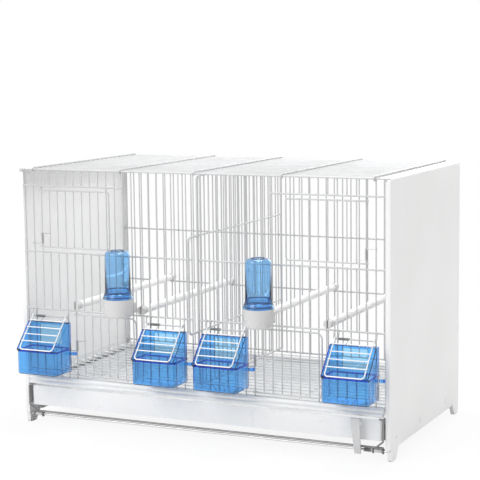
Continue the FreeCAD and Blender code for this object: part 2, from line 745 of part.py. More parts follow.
def tub_box(middle, grow, low, high):
    """A feeder tub's outline as a box with round front corners, grown by grow from the tub's outer walls."""
    half = TUB_WIDTH / 2 + grow
    back = TUB_BACK_Y + min(grow, 0)
    box = block(middle - half, middle + half, TUB_FRONT_Y - grow, back, low, high)
    front = TUB_FRONT_Y + TUB_CORNER
    return rounded(box, TUB_CORNER + grow, lambda e: is_vertical(e) and all(v.Y < front for v in e.Vertexes))


def tub(middle):
    """A feeder's tub: a rounded trough with a rim band and a clip tab at each side."""
    half = TUB_WIDTH / 2
    bottom = RIM_Z - TUB_HEIGHT
    outer = tub_box(middle, 0, bottom, RIM_Z)
    back = TUB_BACK_Y - TUB_WALL
    low = [e for e in outer.Edges if all_below(e, bottom + TUB_WALL) and any(v.Y < back for v in e.Vertexes)]
    outer = outer.makeFillet(TUB_BOTTOM_ROUND, low)
    band = tub_box(middle, RIM_PROUD, RIM_Z - RIM_BAND, RIM_Z)
    hollow = tub_box(middle, -TUB_WALL, bottom + TUB_WALL, RIM_Z + OVERRUN)
    solid = outer.fuse(band)
    top = RIM_Z - TAB_TOP_DROP
    reach = TAB_REACH_STEPS * PITCH
    face = BAR_Y - BAR_D / 2 - FIT_GAP
    beside = reach - BAR_D / 2 - FIT_GAP
    for side in (-1, 1):
        arm = sorted((middle + side * (half - TUB_WALL), middle + side * (reach + TAB_OVERHANG)))
        lip = sorted((middle + side * beside, middle + side * (beside - TAB_LIP)))
        solid = solid.fuse([
            block(*arm, face - TAB_THICK, face, top - TAB_HEIGHT, top),
            block(*lip, face - TAB_THICK, BAR_Y + BAR_D / 2, top - TAB_HEIGHT, top),
        ])
    return [solid.cut(hollow).removeSplitter()]


def hood(middle):
    """A feeder's hood: back wall with a window, two cheeks, a top shelf and a clear sloping front."""
    half = TUB_WIDTH / 2
    top = RIM_Z + HOOD_RISE
    outward = FLAP_EYE_R - FLAP_WIRE / 2 - FLAP_HOOD_GAP

    def on_slope(z, inward):
        turn = math.radians(FLAP_SLOPE_DEG)
        base_y, base_z = slope(0, outward - inward)
        return base_y - (base_z - z) / math.tan(turn)

    def outline(inset):
        low, high = RIM_Z, top - inset
        back = TUB_BACK_Y - inset
        return [(back, low), (back, high), (on_slope(high, inset), high), (on_slope(low, inset), low)]

    whole = extruded([point(middle - half, y, z) for y, z in outline(0)], point(TUB_WIDTH, 0, 0))
    inside = extruded([point(middle - half + TUB_WALL, y, z) for y, z in outline(TUB_WALL)],
                      point(TUB_WIDTH - 2 * TUB_WALL, 0, 0))
    mouth_half = half - TUB_WALL
    below = block(middle - mouth_half, middle + mouth_half, on_slope(RIM_Z, TUB_WALL), TUB_BACK_Y - TUB_WALL,
                  RIM_Z - OVERRUN, RIM_Z + TUB_WALL / 2)
    window = block(middle - WINDOW_WIDTH / 2, middle + WINDOW_WIDTH / 2, TUB_BACK_Y - 2 * TUB_WALL,
                   TUB_BACK_Y + OVERRUN, RIM_Z + WINDOW_BOTTOM, top - WINDOW_TOP)
    return [whole.cut([inside, below, window]).removeSplitter()]


def hinge_rods():
    """The rods that the feeder flaps turn on, each hung from the lower front rod by its bent ends."""
    solids = []
    end_y = ROD_Y - ROD_D / 2 - HINGE_ROD_D / 2
    end_z = LOWER_ROD_Z + ROD_D / 2
    for centre in FEEDER_BARS:
        left, right = bar_x(centre) - HINGE_ROD_HALF, bar_x(centre) + HINGE_ROD_HALF
        path = [point(left, end_y, end_z), point(left, FLAP_AXIS_Y, FLAP_AXIS_Z),
                point(right, FLAP_AXIS_Y, FLAP_AXIS_Z), point(right, end_y, end_z)]
        solids.append(bent_rod(path, HINGE_ROD_BEND, HINGE_ROD_D))
    return solids


def flap(middle):
    """A feeder flap: a U of wire with an eye at each end, and cross wires on its outside."""
    def at(x, along, outward):
        y, z = slope(along, outward)
        return point(x, y, z)

    def eye(x, into):
        def round_rod(angle):
            turn = math.radians(angle)
            return at(x, -FLAP_EYE_R * math.sin(turn), FLAP_EYE_R * math.cos(turn))

        half = EYE_WRAP_DEG / 2
        pairs = [(EYE_WRAP_DEG, half), (half, 0)] if into else [(0, half), (half, EYE_WRAP_DEG)]
        return [Part.Arc(round_rod(a), round_rod((a + b) / 2), round_rod(b)).toShape() for a, b in pairs]

    left, right = middle - FLAP_HALF_WIDTH, middle + FLAP_HALF_WIDTH
    path = [at(left, 0, FLAP_EYE_R), at(left, FLAP_LENGTH, FLAP_EYE_R), at(right, FLAP_LENGTH, FLAP_EYE_R),
            at(right, 0, FLAP_EYE_R)]
    solids = [tube_along(eye(left, True) + bent_edges(path, FLAP_CORNER) + eye(right, False), FLAP_WIRE)]
    outward = FLAP_EYE_R + FLAP_WIRE / 2 + FLAP_CROSS_WIRE / 2
    for share in FLAP_CROSS_SHARES:
        ends = [at(x, share * FLAP_LENGTH, outward) for x in (left - FLAP_WIRE / 2, right + FLAP_WIRE / 2)]
        solids.append(rod(*ends, FLAP_CROSS_WIRE))
    return solids


def flap_spring(name, middle):
    """The torsion spring on a flap's hinge rod: one leg on the lower front rod, one over the flap's wire."""
    radius = HINGE_ROD_D / 2 + FIT_GAP + FLAP_SPRING_WIRE / 2
    over = FLAP_EYE_R + FLAP_WIRE / 2 + FLAP_CROSS_WIRE + FLAP_SPRING_WIRE / 2 + LEG_GAP
    first = FLAP_CROSS_SHARES[0] * FLAP_LENGTH
    y, z = slope(first, over)
    touch = (y - FLAP_AXIS_Y, z - FLAP_AXIS_Z)
    reach = (first + FLAP_SPRING_LEG_PAST) / first
    lower_rod_y = ROD_Y - ROD_D / 2 - FLAP_SPRING_WIRE / 2 - LEG_GAP - FLAP_AXIS_Y
    lower_rod_z = LOWER_ROD_Z - FLAP_AXIS_Z
    origin = point(middle - FLAP_SPRING_START, FLAP_AXIS_Y, FLAP_AXIS_Z)
    legs = (lower_rod_y, lower_rod_z + ROD_D / 2), (touch[0] * reach, touch[1] * reach)
    ways = point(0, 1, 0), point(0, 0, 1), point(1, 0, 0)
    size = radius, FLAP_SPRING_WIRE, FLAP_SPRING_TURNS, FLAP_SPRING_LENGTH
    return [torsion_spring(name, origin, ways, *size, legs)]


def drinker_cup(middle):
    """A drinker's cup, with a spout that passes between two bars and a barb behind each of them."""
    centre = point(middle, DRINKER_Y, CUP_Z)
    outer = revolved([(0, 0), (CUP_BOTTOM_R, 0), (CUP_R, CUP_HEIGHT), (0, CUP_HEIGHT)], centre)
    outer = rounded_rim(outer, CUP_ROUND, lambda e: all_below(e, CUP_Z + CUP_WALL))
    hollow = revolved([(0, CUP_WALL), (CUP_BOTTOM_R - CUP_WALL, CUP_WALL),
                       (CUP_R - CUP_WALL, CUP_HEIGHT), (CUP_R - CUP_WALL, CUP_HEIGHT + OVERRUN),
                       (0, CUP_HEIGHT + OVERRUN)], centre)
    hollow = rounded_rim(hollow, CUP_ROUND - CUP_WALL, lambda e: all_below(e, CUP_Z + 2 * CUP_WALL))
    half = SPOUT_WIDTH / 2
    end = BAR_Y + BAR_D / 2 + SPOUT_REACH
    spout = block(middle - half, middle + half, DRINKER_Y, end, CUP_Z, CUP_Z + SPOUT_HEIGHT)
    channel = block(middle - half + SPOUT_WALL, middle + half - SPOUT_WALL, DRINKER_Y, end - SPOUT_WALL,
                    CUP_Z + CUP_WALL, CUP_Z + SPOUT_HEIGHT + OVERRUN)
    behind = BAR_Y + BAR_D / 2 + FIT_GAP
    low = CUP_Z + SPOUT_WALL
    barbs = [block(*sorted((middle + s * (half - SPOUT_WALL), middle + s * (half + BARB_WIDTH))), behind,
                   behind + BARB_THICK, low, CUP_Z + SPOUT_HEIGHT) for s in (-1, 1)]
    return [outer.fuse([spout] + barbs).cut([hollow, channel]).removeSplitter()]


def drinker_tube(middle):
    """A drinker's tube: a closed top, a skirt that rests on the cup's rim, and a neck inside the cup."""
    base = CUP_Z + CUP_HEIGHT + FIT_GAP
    centre = point(middle, DRINKER_Y, base)
    body = SKIRT_HEIGHT + SKIRT_LIP
    top = TUBE_HEIGHT
    under = top - TUBE_WALL
    side = [(0, 0), (CUP_R, 0), (CUP_R, SKIRT_LIP), (TUBE_R, body), (TUBE_TOP_R, top), (0, top)]
    outer = rounded_rim(revolved(side, centre), TUBE_SHOULDER, lambda e: all_above(e, base + under))
    neck = Part.makeCylinder(NECK_R, NECK_DEPTH, centre - point(0, 0, NECK_DEPTH))
    bore, wide = NECK_R - TUBE_WALL, TUBE_TOP_R - TUBE_WALL
    inner = revolved([(0, -NECK_DEPTH - OVERRUN), (bore, -NECK_DEPTH - OVERRUN), (bore, body),
                      (wide, body + SKIRT_LIP), (wide, under), (0, under)], centre)
    inner = rounded_rim(inner, TUBE_SHOULDER - TUBE_WALL, lambda e: all_above(e, base + under - TUBE_WALL))
    return [outer.fuse(neck).cut(inner).removeSplitter()]


def perch_z():
    """The height of the perches' axis: their caps lie on the lower rods."""
    return LOWER_ROD_Z + ROD_D / 2 + FIT_GAP + CAP_D / 2


def cap_start():
    """The distance from the outside at which a perch cap starts: the rods' outer side."""
    return ROD_Y - ROD_D / 2


def perch(bar):
    """A perch bar between its two end caps, with a spigot in each cap's socket."""
    def along(inset, diameter):
        ends = [point(bar_x(bar), y, perch_z()) for y in (inset, DEPTH - inset)]
        return rod(*ends, diameter)

    body = cap_start() + CAP_LENGTH + FIT_GAP
    return [along(body - CAP_SOCKET, SPIGOT_D).fuse(along(body, PERCH_D)).removeSplitter()]


def perch_end_caps():
    """Both end caps of each perch, slotted for the bar and lying on the lower rod."""
    solids = []
    for bar in PERCH_BARS:
        x = bar_x(bar)
        for outside, inward in ((cap_start(), 1), (DEPTH - cap_start(), -1)):
            inner_end = outside + inward * CAP_LENGTH
            cap = rod(point(x, outside, perch_z()), point(x, inner_end, perch_z()), CAP_D)
            socket = rod(point(x, inner_end - inward * CAP_SOCKET, perch_z()),
                         point(x, inner_end + inward * OVERRUN, perch_z()), SPIGOT_D + 2 * FIT_GAP)
            deep = sorted((outside - inward * OVERRUN, outside + inward * CAP_SLOT_DEPTH))
            slot = block(x - CAP_SLOT / 2, x + CAP_SLOT / 2, *deep, perch_z() - CAP_D, perch_z() + CAP_D)
            solids += cap.cut([socket, slot]).Solids
    return solids


def divider_grille():
    """The divider: a bent frame rod, upright wires on its left side and two level rods on its right."""
    front = BAR_Y + DIVIDER_FRONT_GAP
    back = BACK_BAR_Y - DIVIDER_BACK_GAP
    low = FLOOR_WIRE_TOP + DIVIDER_FLOOR_GAP
    high = ROOF_WIRE_Z - DIVIDER_TOP_GAP
    frame = bent_rod([point(0, back, low), point(0, front, low), point(0, front, high), point(0, back, high)],
                     DIVIDER_CORNER, DIVIDER_ROD_D)
    radius = DIVIDER_ROD_D / 2
    end = back + radius
    solids = [frame, rod(point(0, end, low - radius), point(0, end, high + radius), DIVIDER_ROD_D)]
    x = -(radius + DIVIDER_BAR_D / 2)
    step = (back - front) / (DIVIDER_BARS + 1)
    for number in range(DIVIDER_BARS):
        y = front + (number + 1) * step
        solids.append(rod(point(x, y, low - radius), point(x, y, high + radius), DIVIDER_BAR_D))
    rod_x = x + DIVIDER_BAR_D / 2 + DIVIDER_MID_ROD_D / 2
    for z in (HANDLE_LOW_Z, HANDLE_HIGH_Z):
        solids.append(rod(point(rod_x, front + radius, z), point(rod_x, end - radius, z), DIVIDER_MID_ROD_D))
    return solids


def divider_handle():
    """The loop handle, welded to the divider's front upright."""
    root = BAR_Y + DIVIDER_FRONT_GAP - DIVIDER_ROD_D / 2
    reach = ROD_Y - HANDLE_REACH
    places = [(root, HANDLE_LOW_Z), (reach, HANDLE_LOW_Z), (reach, HANDLE_HIGH_Z), (root, HANDLE_HIGH_Z)]
    return [bent_rod([point(0, y, z) for y, z in places], HANDLE_CORNER, DIVIDER_ROD_D)]


def floor_grille():
    """The floor: wires along X on top of rods that run from the ridged bar to the back."""
    solids = []
    start = RIDGE_Y + RIDGE_R - FIT_GAP
    back = DEPTH - FLOOR_BACK_GAP
    first = BAR_Y + PITCH / 2
    step = (back - FLOOR_WIRE_D - first) / (FLOOR_WIRES - 1)
    for number in range(FLOOR_WIRES):
        y = first + number * step
        ends = [point(side * FLOOR_HALF, y, FLOOR_WIRE_Z) for side in (-1, 1)]
        solids.append(rod(*ends, FLOOR_WIRE_D))
    outer = FLOOR_HALF - FLOOR_ROD_INSET
    count = FLOOR_INNER_RODS + 1
    for number in range(count + 1):
        x = -outer + number * 2 * outer / count
        solids.append(rod(point(x, start, FLOOR_ROD_Z), point(x, back, FLOOR_ROD_Z), ROD_D))
    return solids


def floor_grille_front_bar():
    """The glossy bar across the front: two rounded ridges one above the other."""
    end = HALF - FRONT_FLANGE - RIDGE_END_GAP
    upper = RIDGE_TOP_Z - RIDGE_R
    lower = upper - RIDGE_STEP
    ridges = [rod(point(-end, RIDGE_Y, z), point(end, RIDGE_Y, z), 2 * RIDGE_R) for z in (upper, lower)]
    web = block(-end, end, RIDGE_Y - RIDGE_R / 2, RIDGE_Y + RIDGE_R / 2, lower, upper)
    return [ridges[0].fuse([ridges[1], web]).removeSplitter()]


def runners(top, ledge_x, tabs):
    """A pair of L-shaped runners on the side panels' inner faces, with tabs in the panels' slots if asked."""
    solids = []
    start, end = RUNNER_END_GAP, DEPTH - RUNNER_END_GAP
    ledge = block(ledge_x, INNER_X, start, end, top - RUNNER_THICK, top)
    leg = block(INNER_X - RUNNER_THICK, INNER_X, start, end, top - RUNNER_THICK, top + RUNNER_LEG)
    runner = ledge.fuse(leg)
    if tabs:
        for middle in (TAB_SLOT_FRONT_Y, TAB_SLOT_BACK_Y):
            half = TAB_SLOT / 2 - FIT_GAP
            low = DRAWER_BOTTOM - RUNNER_THICK + FIT_GAP
            high = low + TAB_SLOT_HEIGHT - 2 * FIT_GAP
            tab = block(INNER_X - RUNNER_THICK, HALF - FIT_GAP, middle - half, middle + half, low, high)
            runner = runner.fuse(tab)
    for side in (-1, 1):
        one = runner.removeSplitter()
        solids += (one if side > 0 else one.mirror(point(0, 0, 0), point(1, 0, 0))).Solids
    return solids


def drawer_half():
    """Half the drawer's width."""
    return FLANGE_X - DRAWER_SIDE_GAP


def drawer():
    """The drawer: an open sheet tray, with two ears on its front for the latch pin."""
    half = drawer_half()
    back = DEPTH - DRAWER_BACK_GAP
    outer = block(-half, half, DRAWER_FACE_Y, back, DRAWER_BOTTOM, DRAWER_TOP)
    outer = rounded(outer, DRAWER_CORNER, is_vertical)
    front = DRAWER_FACE_Y + DRAWER_SHEET
    bottom = DRAWER_BOTTOM + DRAWER_SHEET
    inner_half = half - DRAWER_SHEET
    inner = block(-inner_half, inner_half, front, back - DRAWER_SHEET, bottom, DRAWER_TOP + OVERRUN)
    inner = rounded(inner, DRAWER_CORNER - DRAWER_SHEET, is_vertical)
    ears = []
    pin_y = latch_pin_y()
    for side in (-1, 1):
        near = LATCH_X + side * (LATCH_BOSS_WIDTH / 2 + FIT_GAP)
        span = sorted((near, near + side * EAR_THICK))
        ear = block(*span, pin_y, front, LATCH_PIN_Z - EAR_R, LATCH_PIN_Z + EAR_R)
        centre = point(span[0], pin_y, LATCH_PIN_Z)
        nose = Part.makeCylinder(EAR_R, EAR_THICK, centre, point(1, 0, 0))
        bore = Part.makeCylinder(LATCH_PIN_D / 2, EAR_THICK, centre, point(1, 0, 0))
        ears.append(ear.fuse(nose).cut(bore))
    return [outer.fuse(ears).cut(inner).removeSplitter()]


def latch_pin_y():
    """The place along Y of the latch's pin."""
    return DRAWER_FACE_Y - LATCH_PIN_FORWARD


def drawer_latch():
    """The latch lever: a tapered plastic blade with a boss behind it, bored for the pin."""
    pin_y = latch_pin_y()
    rear = pin_y - EAR_R - FIT_GAP
    front = rear - LATCH_THICK
    foot_rear = bail_bar_place()[0] - BAIL_D / 2 - LATCH_FOOT_GAP
    knee = LATCH_PIN_Z - LATCH_BOSS_R
    side_view = [(rear, LATCH_TOP_Z), (front, LATCH_TOP_Z), (front, knee),
                 (foot_rear - LATCH_THICK, LATCH_FOOT_Z), (foot_rear, LATCH_FOOT_Z), (rear, knee)]
    half_top, half_foot = LATCH_TOP_WIDTH / 2, LATCH_FOOT_WIDTH / 2
    blade = extruded([point(LATCH_X - half_top, y, z) for y, z in side_view], point(LATCH_TOP_WIDTH, 0, 0))
    top_edge = [(-half_top, LATCH_TOP_Z), (half_top, LATCH_TOP_Z)]
    foot_edge = [(half_foot, LATCH_FOOT_Z), (-half_foot, LATCH_FOOT_Z)]
    reach = LATCH_PIN_FORWARD + OVERRUN
    taper = [point(LATCH_X + x, front - reach, z) for x, z in top_edge + foot_edge]
    blade = blade.common(extruded(taper, point(0, 2 * reach, 0)))
    left, right = LATCH_X - LATCH_BOSS_WIDTH / 2, LATCH_X + LATCH_BOSS_WIDTH / 2
    web = block(left, right, rear, pin_y, knee, LATCH_PIN_Z + LATCH_BOSS_R)
    start = point(left, pin_y, LATCH_PIN_Z)
    boss = Part.makeCylinder(LATCH_BOSS_R, LATCH_BOSS_WIDTH, start, point(1, 0, 0))
    bore = Part.makeCylinder(LATCH_PIN_D / 2 + LATCH_PIN_PLAY, LATCH_BOSS_WIDTH, start, point(1, 0, 0))
    return [blade.fuse([web, boss]).cut(bore).removeSplitter()]


def latch_pin():
    """The pin through the drawer's ears and the latch's boss."""
    half = LATCH_BOSS_WIDTH / 2 + FIT_GAP + EAR_THICK
    ends = [point(LATCH_X + s * half, latch_pin_y(), LATCH_PIN_Z) for s in (-1, 1)]
    return [rod(*ends, LATCH_PIN_D)]


def tie_rod(y):
    """A rod between the side panels' feet."""
    return [rod(point(-INNER_X, y, TIE_ROD_Z), point(INNER_X, y, TIE_ROD_Z), TIE_ROD_D)]


def bail_ring_radius():
    """The middle radius of the rings that the bail swings on."""
    return TIE_ROD_D / 2 + FIT_GAP + BAIL_RING_D / 2


def bail_bar_place():
    """The (Y, Z) place of the bail's bar, which lies on the outside of its rings."""
    out = bail_ring_radius() + BAIL_RING_D / 2 + BAIL_D / 2
    tilt = math.radians(BAIL_TILT_DEG)
    return TIE_ROD_INSET - out * math.cos(tilt), TIE_ROD_Z + out * math.sin(tilt)


def drawer_bail():
    """The bail: a bar on four rings round the front tie rod, with a hooked arm beside each drawer end."""
    ring_r = bail_ring_radius()
    bar_y, bar_z = bail_bar_place()
    solids = [rod(point(-BAIL_BAR_END, bar_y, bar_z), point(BAIL_BAR_END, bar_y, bar_z), BAIL_D)]
    root_y = bar_y - BAIL_D / 2 - BAIL_ARM_D / 2
    for side in (-1, 1):
        for x in (BAIL_RING_INNER_X, BAIL_RING_OUTER_X):
            centre = point(side * x, TIE_ROD_INSET, TIE_ROD_Z)
            solids.append(ring_of(centre, point(1, 0, 0), ring_r, BAIL_RING_D))
        places = [(BAIL_ARM_ROOT_X, root_y, bar_z), (BAIL_ARM_X, BAIL_ARM_Y, BAIL_ELBOW_Z),
                  (BAIL_ARM_X, BAIL_ARM_Y, BAIL_TOP_Z), (BAIL_ARM_X - BAIL_HOOK, BAIL_ARM_Y, BAIL_TOP_Z)]
        solids.append(bent_rod([point(side * x, y, z) for x, y, z in places], BAIL_BEND, BAIL_ARM_D))
    return solids


def tie_rod_sleeves():
    """The sleeves on the front tie rod, one between each pair of the bail's rings."""
    gap = BAIL_RING_D / 2 + FIT_GAP
    solids = []
    for side in (-1, 1):
        ends = sorted((side * (BAIL_RING_INNER_X + gap), side * (BAIL_RING_OUTER_X - gap)))
        start = point(ends[0], TIE_ROD_INSET, TIE_ROD_Z)
        finish = point(ends[1], TIE_ROD_INSET, TIE_ROD_Z)
        solids.append(rod(start, finish, TIE_ROD_D + 2 * SLEEVE_WALL).cut(rod(start, finish, TIE_ROD_D)))
    return solids


def bail_spring(name):
    """The torsion spring on the front tie rod, beside the bail's right inner ring."""
    radius = TIE_ROD_D / 2 + FIT_GAP + BAIL_SPRING_WIRE / 2
    start = BAIL_RING_INNER_X - BAIL_RING_D - BAIL_SPRING_GAP - BAIL_SPRING_LENGTH
    origin = point(start, TIE_ROD_INSET, TIE_ROD_Z)
    bar_y, bar_z = bail_bar_place()
    before = bar_y - TIE_ROD_INSET - BAIL_D / 2 - BAIL_SPRING_WIRE / 2 - 2 * LEG_GAP
    legs = (BAIL_SPRING_LEG_RISE, BAIL_SPRING_LEG), (bar_z - TIE_ROD_Z, before)
    ways = point(0, 0, 1), point(0, 1, 0), point(1, 0, 0)
    size = radius, BAIL_SPRING_WIRE, BAIL_SPRING_TURNS, BAIL_SPRING_LENGTH
    return [torsion_spring(name, origin, ways, *size, legs)]


def build():
    """Write every node."""
    os.makedirs("parts", exist_ok=True)
    save("left_side_panel", side_panel(-1))
    save("right_side_panel", side_panel(1))
    save("front_grille", front_grille())
    save("back_grille", back_grille())
    save("roof_grille", roof_grille())
    save("roof_guides", roof_guides())
    save("back_lower_strip", back_lower_strip())
    save("upper_left_door", upper_door(UPPER_LEFT_HINGE_BAR, 1))
    save("upper_right_door", upper_door(UPPER_RIGHT_HINGE_BAR, -1))
    save("lower_left_door", lower_door(LOWER_HINGE_BARS[0]))
    save("lower_right_door", lower_door(LOWER_HINGE_BARS[1]))
    hinge_bars = (UPPER_LEFT_HINGE_BAR, UPPER_RIGHT_HINGE_BAR) + LOWER_HINGE_BARS
    for name, bar in zip(("upper_left", "upper_right", "lower_left", "lower_right"), hinge_bars):
        upper = name.startswith("upper")
        z = MID_ROD_Z + UPPER_SPRING_RISE if upper else BOTTOM_ROD_Z + LOWER_SPRING_RISE
        node = name + "_door_spring"
        save(node, door_spring(node, bar, z))
    for side, bar in zip(FEEDER_SIDES, FEEDER_BARS):
        middle = bar_x(bar)
        save(side + "_feeder_tub", tub(middle))
        save(side + "_feeder_hood", hood(middle))
        save(side + "_feeder_flap", flap(middle))
        save(side + "_flap_spring", flap_spring(side + "_flap_spring", middle))
    save("flap_hinge_rods", hinge_rods())
    for side, bar in zip(DRINKER_SIDES, DRINKER_BARS):
        save(side + "_drinker_cup", drinker_cup(bar_x(bar)))
        save(side + "_drinker_tube", drinker_tube(bar_x(bar)))
    for number, bar in enumerate(PERCH_BARS):
        save("perch_" + str(number + 1), perch(bar))
    save("perch_end_caps", perch_end_caps())
    save("divider_grille", divider_grille())
    save("divider_handle", divider_handle())
    save("floor_grille", floor_grille())
    save("floor_grille_front_bar", floor_grille_front_bar())
    save("floor_runners", runners(FLOOR_ROD_Z - ROD_D / 2 - FIT_GAP, FLOOR_HALF - 2 * FLOOR_ROD_INSET, False))
    save("drawer", drawer())
    save("drawer_runners", runners(DRAWER_BOTTOM - FIT_GAP, drawer_half() - RUNNER_LEDGE, True))
    save("drawer_latch", drawer_latch())
    save("latch_pin", latch_pin())
    save("front_tie_rod", tie_rod(TIE_ROD_INSET))
    save("rear_tie_rod", tie_rod(DEPTH - TIE_ROD_INSET))
    save("drawer_bail", drawer_bail())
    save("tie_rod_sleeves", tie_rod_sleeves())
    save("bail_spring", bail_spring("bail_spring"))


build()
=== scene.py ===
"""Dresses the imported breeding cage: finishes, feeders, drinkers, perches, weld beads, studio and camera."""

import functools
import json
import logging
import math
from dataclasses import dataclass
from enum import Enum

import bmesh
import bpy
from mathutils import Matrix, Vector


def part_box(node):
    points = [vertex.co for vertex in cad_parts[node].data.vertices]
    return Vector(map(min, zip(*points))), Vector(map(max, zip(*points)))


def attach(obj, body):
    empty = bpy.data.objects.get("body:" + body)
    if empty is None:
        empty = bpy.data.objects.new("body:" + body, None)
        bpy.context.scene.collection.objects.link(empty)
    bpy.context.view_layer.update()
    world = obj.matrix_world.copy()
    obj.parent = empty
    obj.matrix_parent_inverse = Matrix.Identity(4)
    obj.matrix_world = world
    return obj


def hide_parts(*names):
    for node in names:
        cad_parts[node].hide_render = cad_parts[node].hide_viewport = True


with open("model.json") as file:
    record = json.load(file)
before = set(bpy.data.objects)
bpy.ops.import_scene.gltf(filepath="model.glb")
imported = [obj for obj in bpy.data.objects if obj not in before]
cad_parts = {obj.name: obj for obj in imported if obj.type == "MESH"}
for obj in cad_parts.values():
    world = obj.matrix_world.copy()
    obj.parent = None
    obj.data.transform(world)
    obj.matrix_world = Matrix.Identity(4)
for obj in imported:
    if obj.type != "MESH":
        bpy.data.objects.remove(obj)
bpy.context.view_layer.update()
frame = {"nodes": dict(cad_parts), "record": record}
LOG = logging.getLogger("cage")

Colour = tuple[float, float, float, float]
FEEDER_SIDES = ("left_end", "left_middle", "right_middle", "right_end")
DRINKER_SIDES = ("left", "right")
BAR_RADIUS = 0.001
FIT_GAP = 0.0003
MERGE_WITHIN = 0.000005
CUT_WITHIN = 0.000001
DUST_COLOUR = (0.5, 0.48, 0.45, 1.0)
GRIME_COLOUR = (0.42, 0.41, 0.385, 1.0)


class Effect(Enum):
    """The shader groups that several finishes share."""

    PEEL = "paint_peel"
    TONE = "tone_drift"
    DUST = "settled_dust"
    SCUFF = "fine_scuffs"
    FLOW = "mould_flow"


class Tree:
    """Adds nodes to one shader tree and joins them."""

    def __init__(self, tree: bpy.types.NodeTree) -> None:
        """Keep the tree that nodes are added to."""
        self.tree = tree

    def add(self, kind: str, inputs: dict | None = None, **settings: object) -> bpy.types.Node:
        """Add one node.

        Args:
            kind: the node's type name.
            inputs: socket name or number to a value or to the socket that feeds it.
            settings: properties of the node.

        Returns:
            The new node.
        """
        node = self.tree.nodes.new(kind)
        for name, value in settings.items():
            setattr(node, name, value)
        self.fill(node, inputs or {})
        return node

    def fill(self, node: bpy.types.Node, inputs: dict) -> None:
        """Set or link a node's sockets.

        Args:
            node: the node.
            inputs: socket name or number to a value or to the socket that feeds it.
        """
        for key, value in inputs.items():
            if isinstance(value, bpy.types.NodeSocket):
                self.tree.links.new(value, node.inputs[key])
            else:
                node.inputs[key].default_value = value

    def place(self) -> bpy.types.NodeSocket:
        """Return the position on the piece, in its own axes."""
        return self.add("ShaderNodeTexCoord").outputs["Object"]

    def noise(self, scale: object, detail: float = 2.0, rough: float = 0.5, vector: object = None,
              distortion: float = 0.0) -> bpy.types.NodeSocket:
        """Add a noise texture.

        Args:
            scale: waves to the metre, or a socket.
            detail: the number of finer layers.
            rough: the share of each finer layer.
            vector: the position socket, or None for the piece's own axes.
            distortion: how far the pattern is bent.

        Returns:
            The noise value socket.
        """
        node = self.add("ShaderNodeTexNoise", {
            "Vector": vector or self.place(), "Scale": scale, "Detail": detail, "Roughness": rough,
            "Distortion": distortion})
        return node.outputs["Fac"]

    def remap(self, value: bpy.types.NodeSocket, low: object, high: object, to_low: object = 0.0,
              to_high: object = 1.0) -> bpy.types.NodeSocket:
        """Map a value smoothly from one range to another.

        Args:
            value: the socket to map.
            low: the value that gives to_low.
            high: the value that gives to_high.
            to_low: the result at the low end.
            to_high: the result at the high end.

        Returns:
            The mapped value socket.
        """
        node = self.add("ShaderNodeMapRange", {
            "Value": value, "From Min": low, "From Max": high, "To Min": to_low, "To Max": to_high},
            interpolation_type="SMOOTHSTEP")
        return node.outputs["Result"]

    def math(self, operation: str, first: object, second: object = 0.0) -> bpy.types.NodeSocket:
        """Add a math node and return its value socket."""
        return self.add("ShaderNodeMath", {0: first, 1: second}, operation=operation).outputs[0]

    def mix(self, share: object, first: object, second: object) -> bpy.types.NodeSocket:
        """Mix two colours.

        Args:
            share: how much of the second colour shows.
            first: a colour or a socket.
            second: a colour or a socket.

        Returns:
            The mixed colour socket.
        """
        return self.add("ShaderNodeMix", {0: share, 6: first, 7: second}, data_type="RGBA").outputs[2]

    def bump(self, height: bpy.types.NodeSocket, strength: float, distance: float) -> bpy.types.NodeSocket:
        """Turn a height into a normal.

        Args:
            height: the height socket.
            strength: how strongly the height shows.
            distance: the depth of the relief in metres.

        Returns:
            The normal socket.
        """
        node = self.add("ShaderNodeBump", {"Strength": strength, "Distance": distance, "Height": height})
        return node.outputs["Normal"]

    def effect(self, which: Effect, inputs: dict) -> bpy.types.NodeSocket:
        """Place a shared group and return its output.

        Args:
            which: the shared effect.
            inputs: its inputs' values.

        Returns:
            The group's one output socket.
        """
        return self.add("ShaderNodeGroup", inputs, node_tree=shared_group(which)).outputs[0]


def shared_group(which: Effect) -> bpy.types.NodeTree:
    """Return a shared group, built the first time that it is asked for.

    Args:
        which: the effect.

    Returns:
        The node group.
    """
    found = bpy.data.node_groups.get(which.value)
    if found:
        return found
    group = bpy.data.node_groups.new(which.value, "ShaderNodeTree")
    builders = {Effect.PEEL: _build_peel, Effect.TONE: _build_tone, Effect.DUST: _build_dust,
                Effect.SCUFF: _build_scuff, Effect.FLOW: _build_flow}
    builders[which](group)
    return group


def _sockets(group: bpy.types.NodeTree, values: dict[str, object],
             result: tuple[str, str]) -> tuple[Tree, bpy.types.Node, bpy.types.Node]:
    """Give a group its inputs and its output.

    Args:
        group: the group.
        values: input names to default values; a tuple makes a colour input.
        result: the output's name and socket type.

    Returns:
        The tree helper, the group's input node and its output node.
    """
    for name, value in values.items():
        kind = "NodeSocketColor" if isinstance(value, tuple) else "NodeSocketFloat"
        group.interface.new_socket(name=name, in_out="INPUT", socket_type=kind).default_value = value
    group.interface.new_socket(name=result[0], in_out="OUTPUT", socket_type=result[1])
    tree = Tree(group)
    return tree, tree.add("NodeGroupInput"), tree.add("NodeGroupOutput")


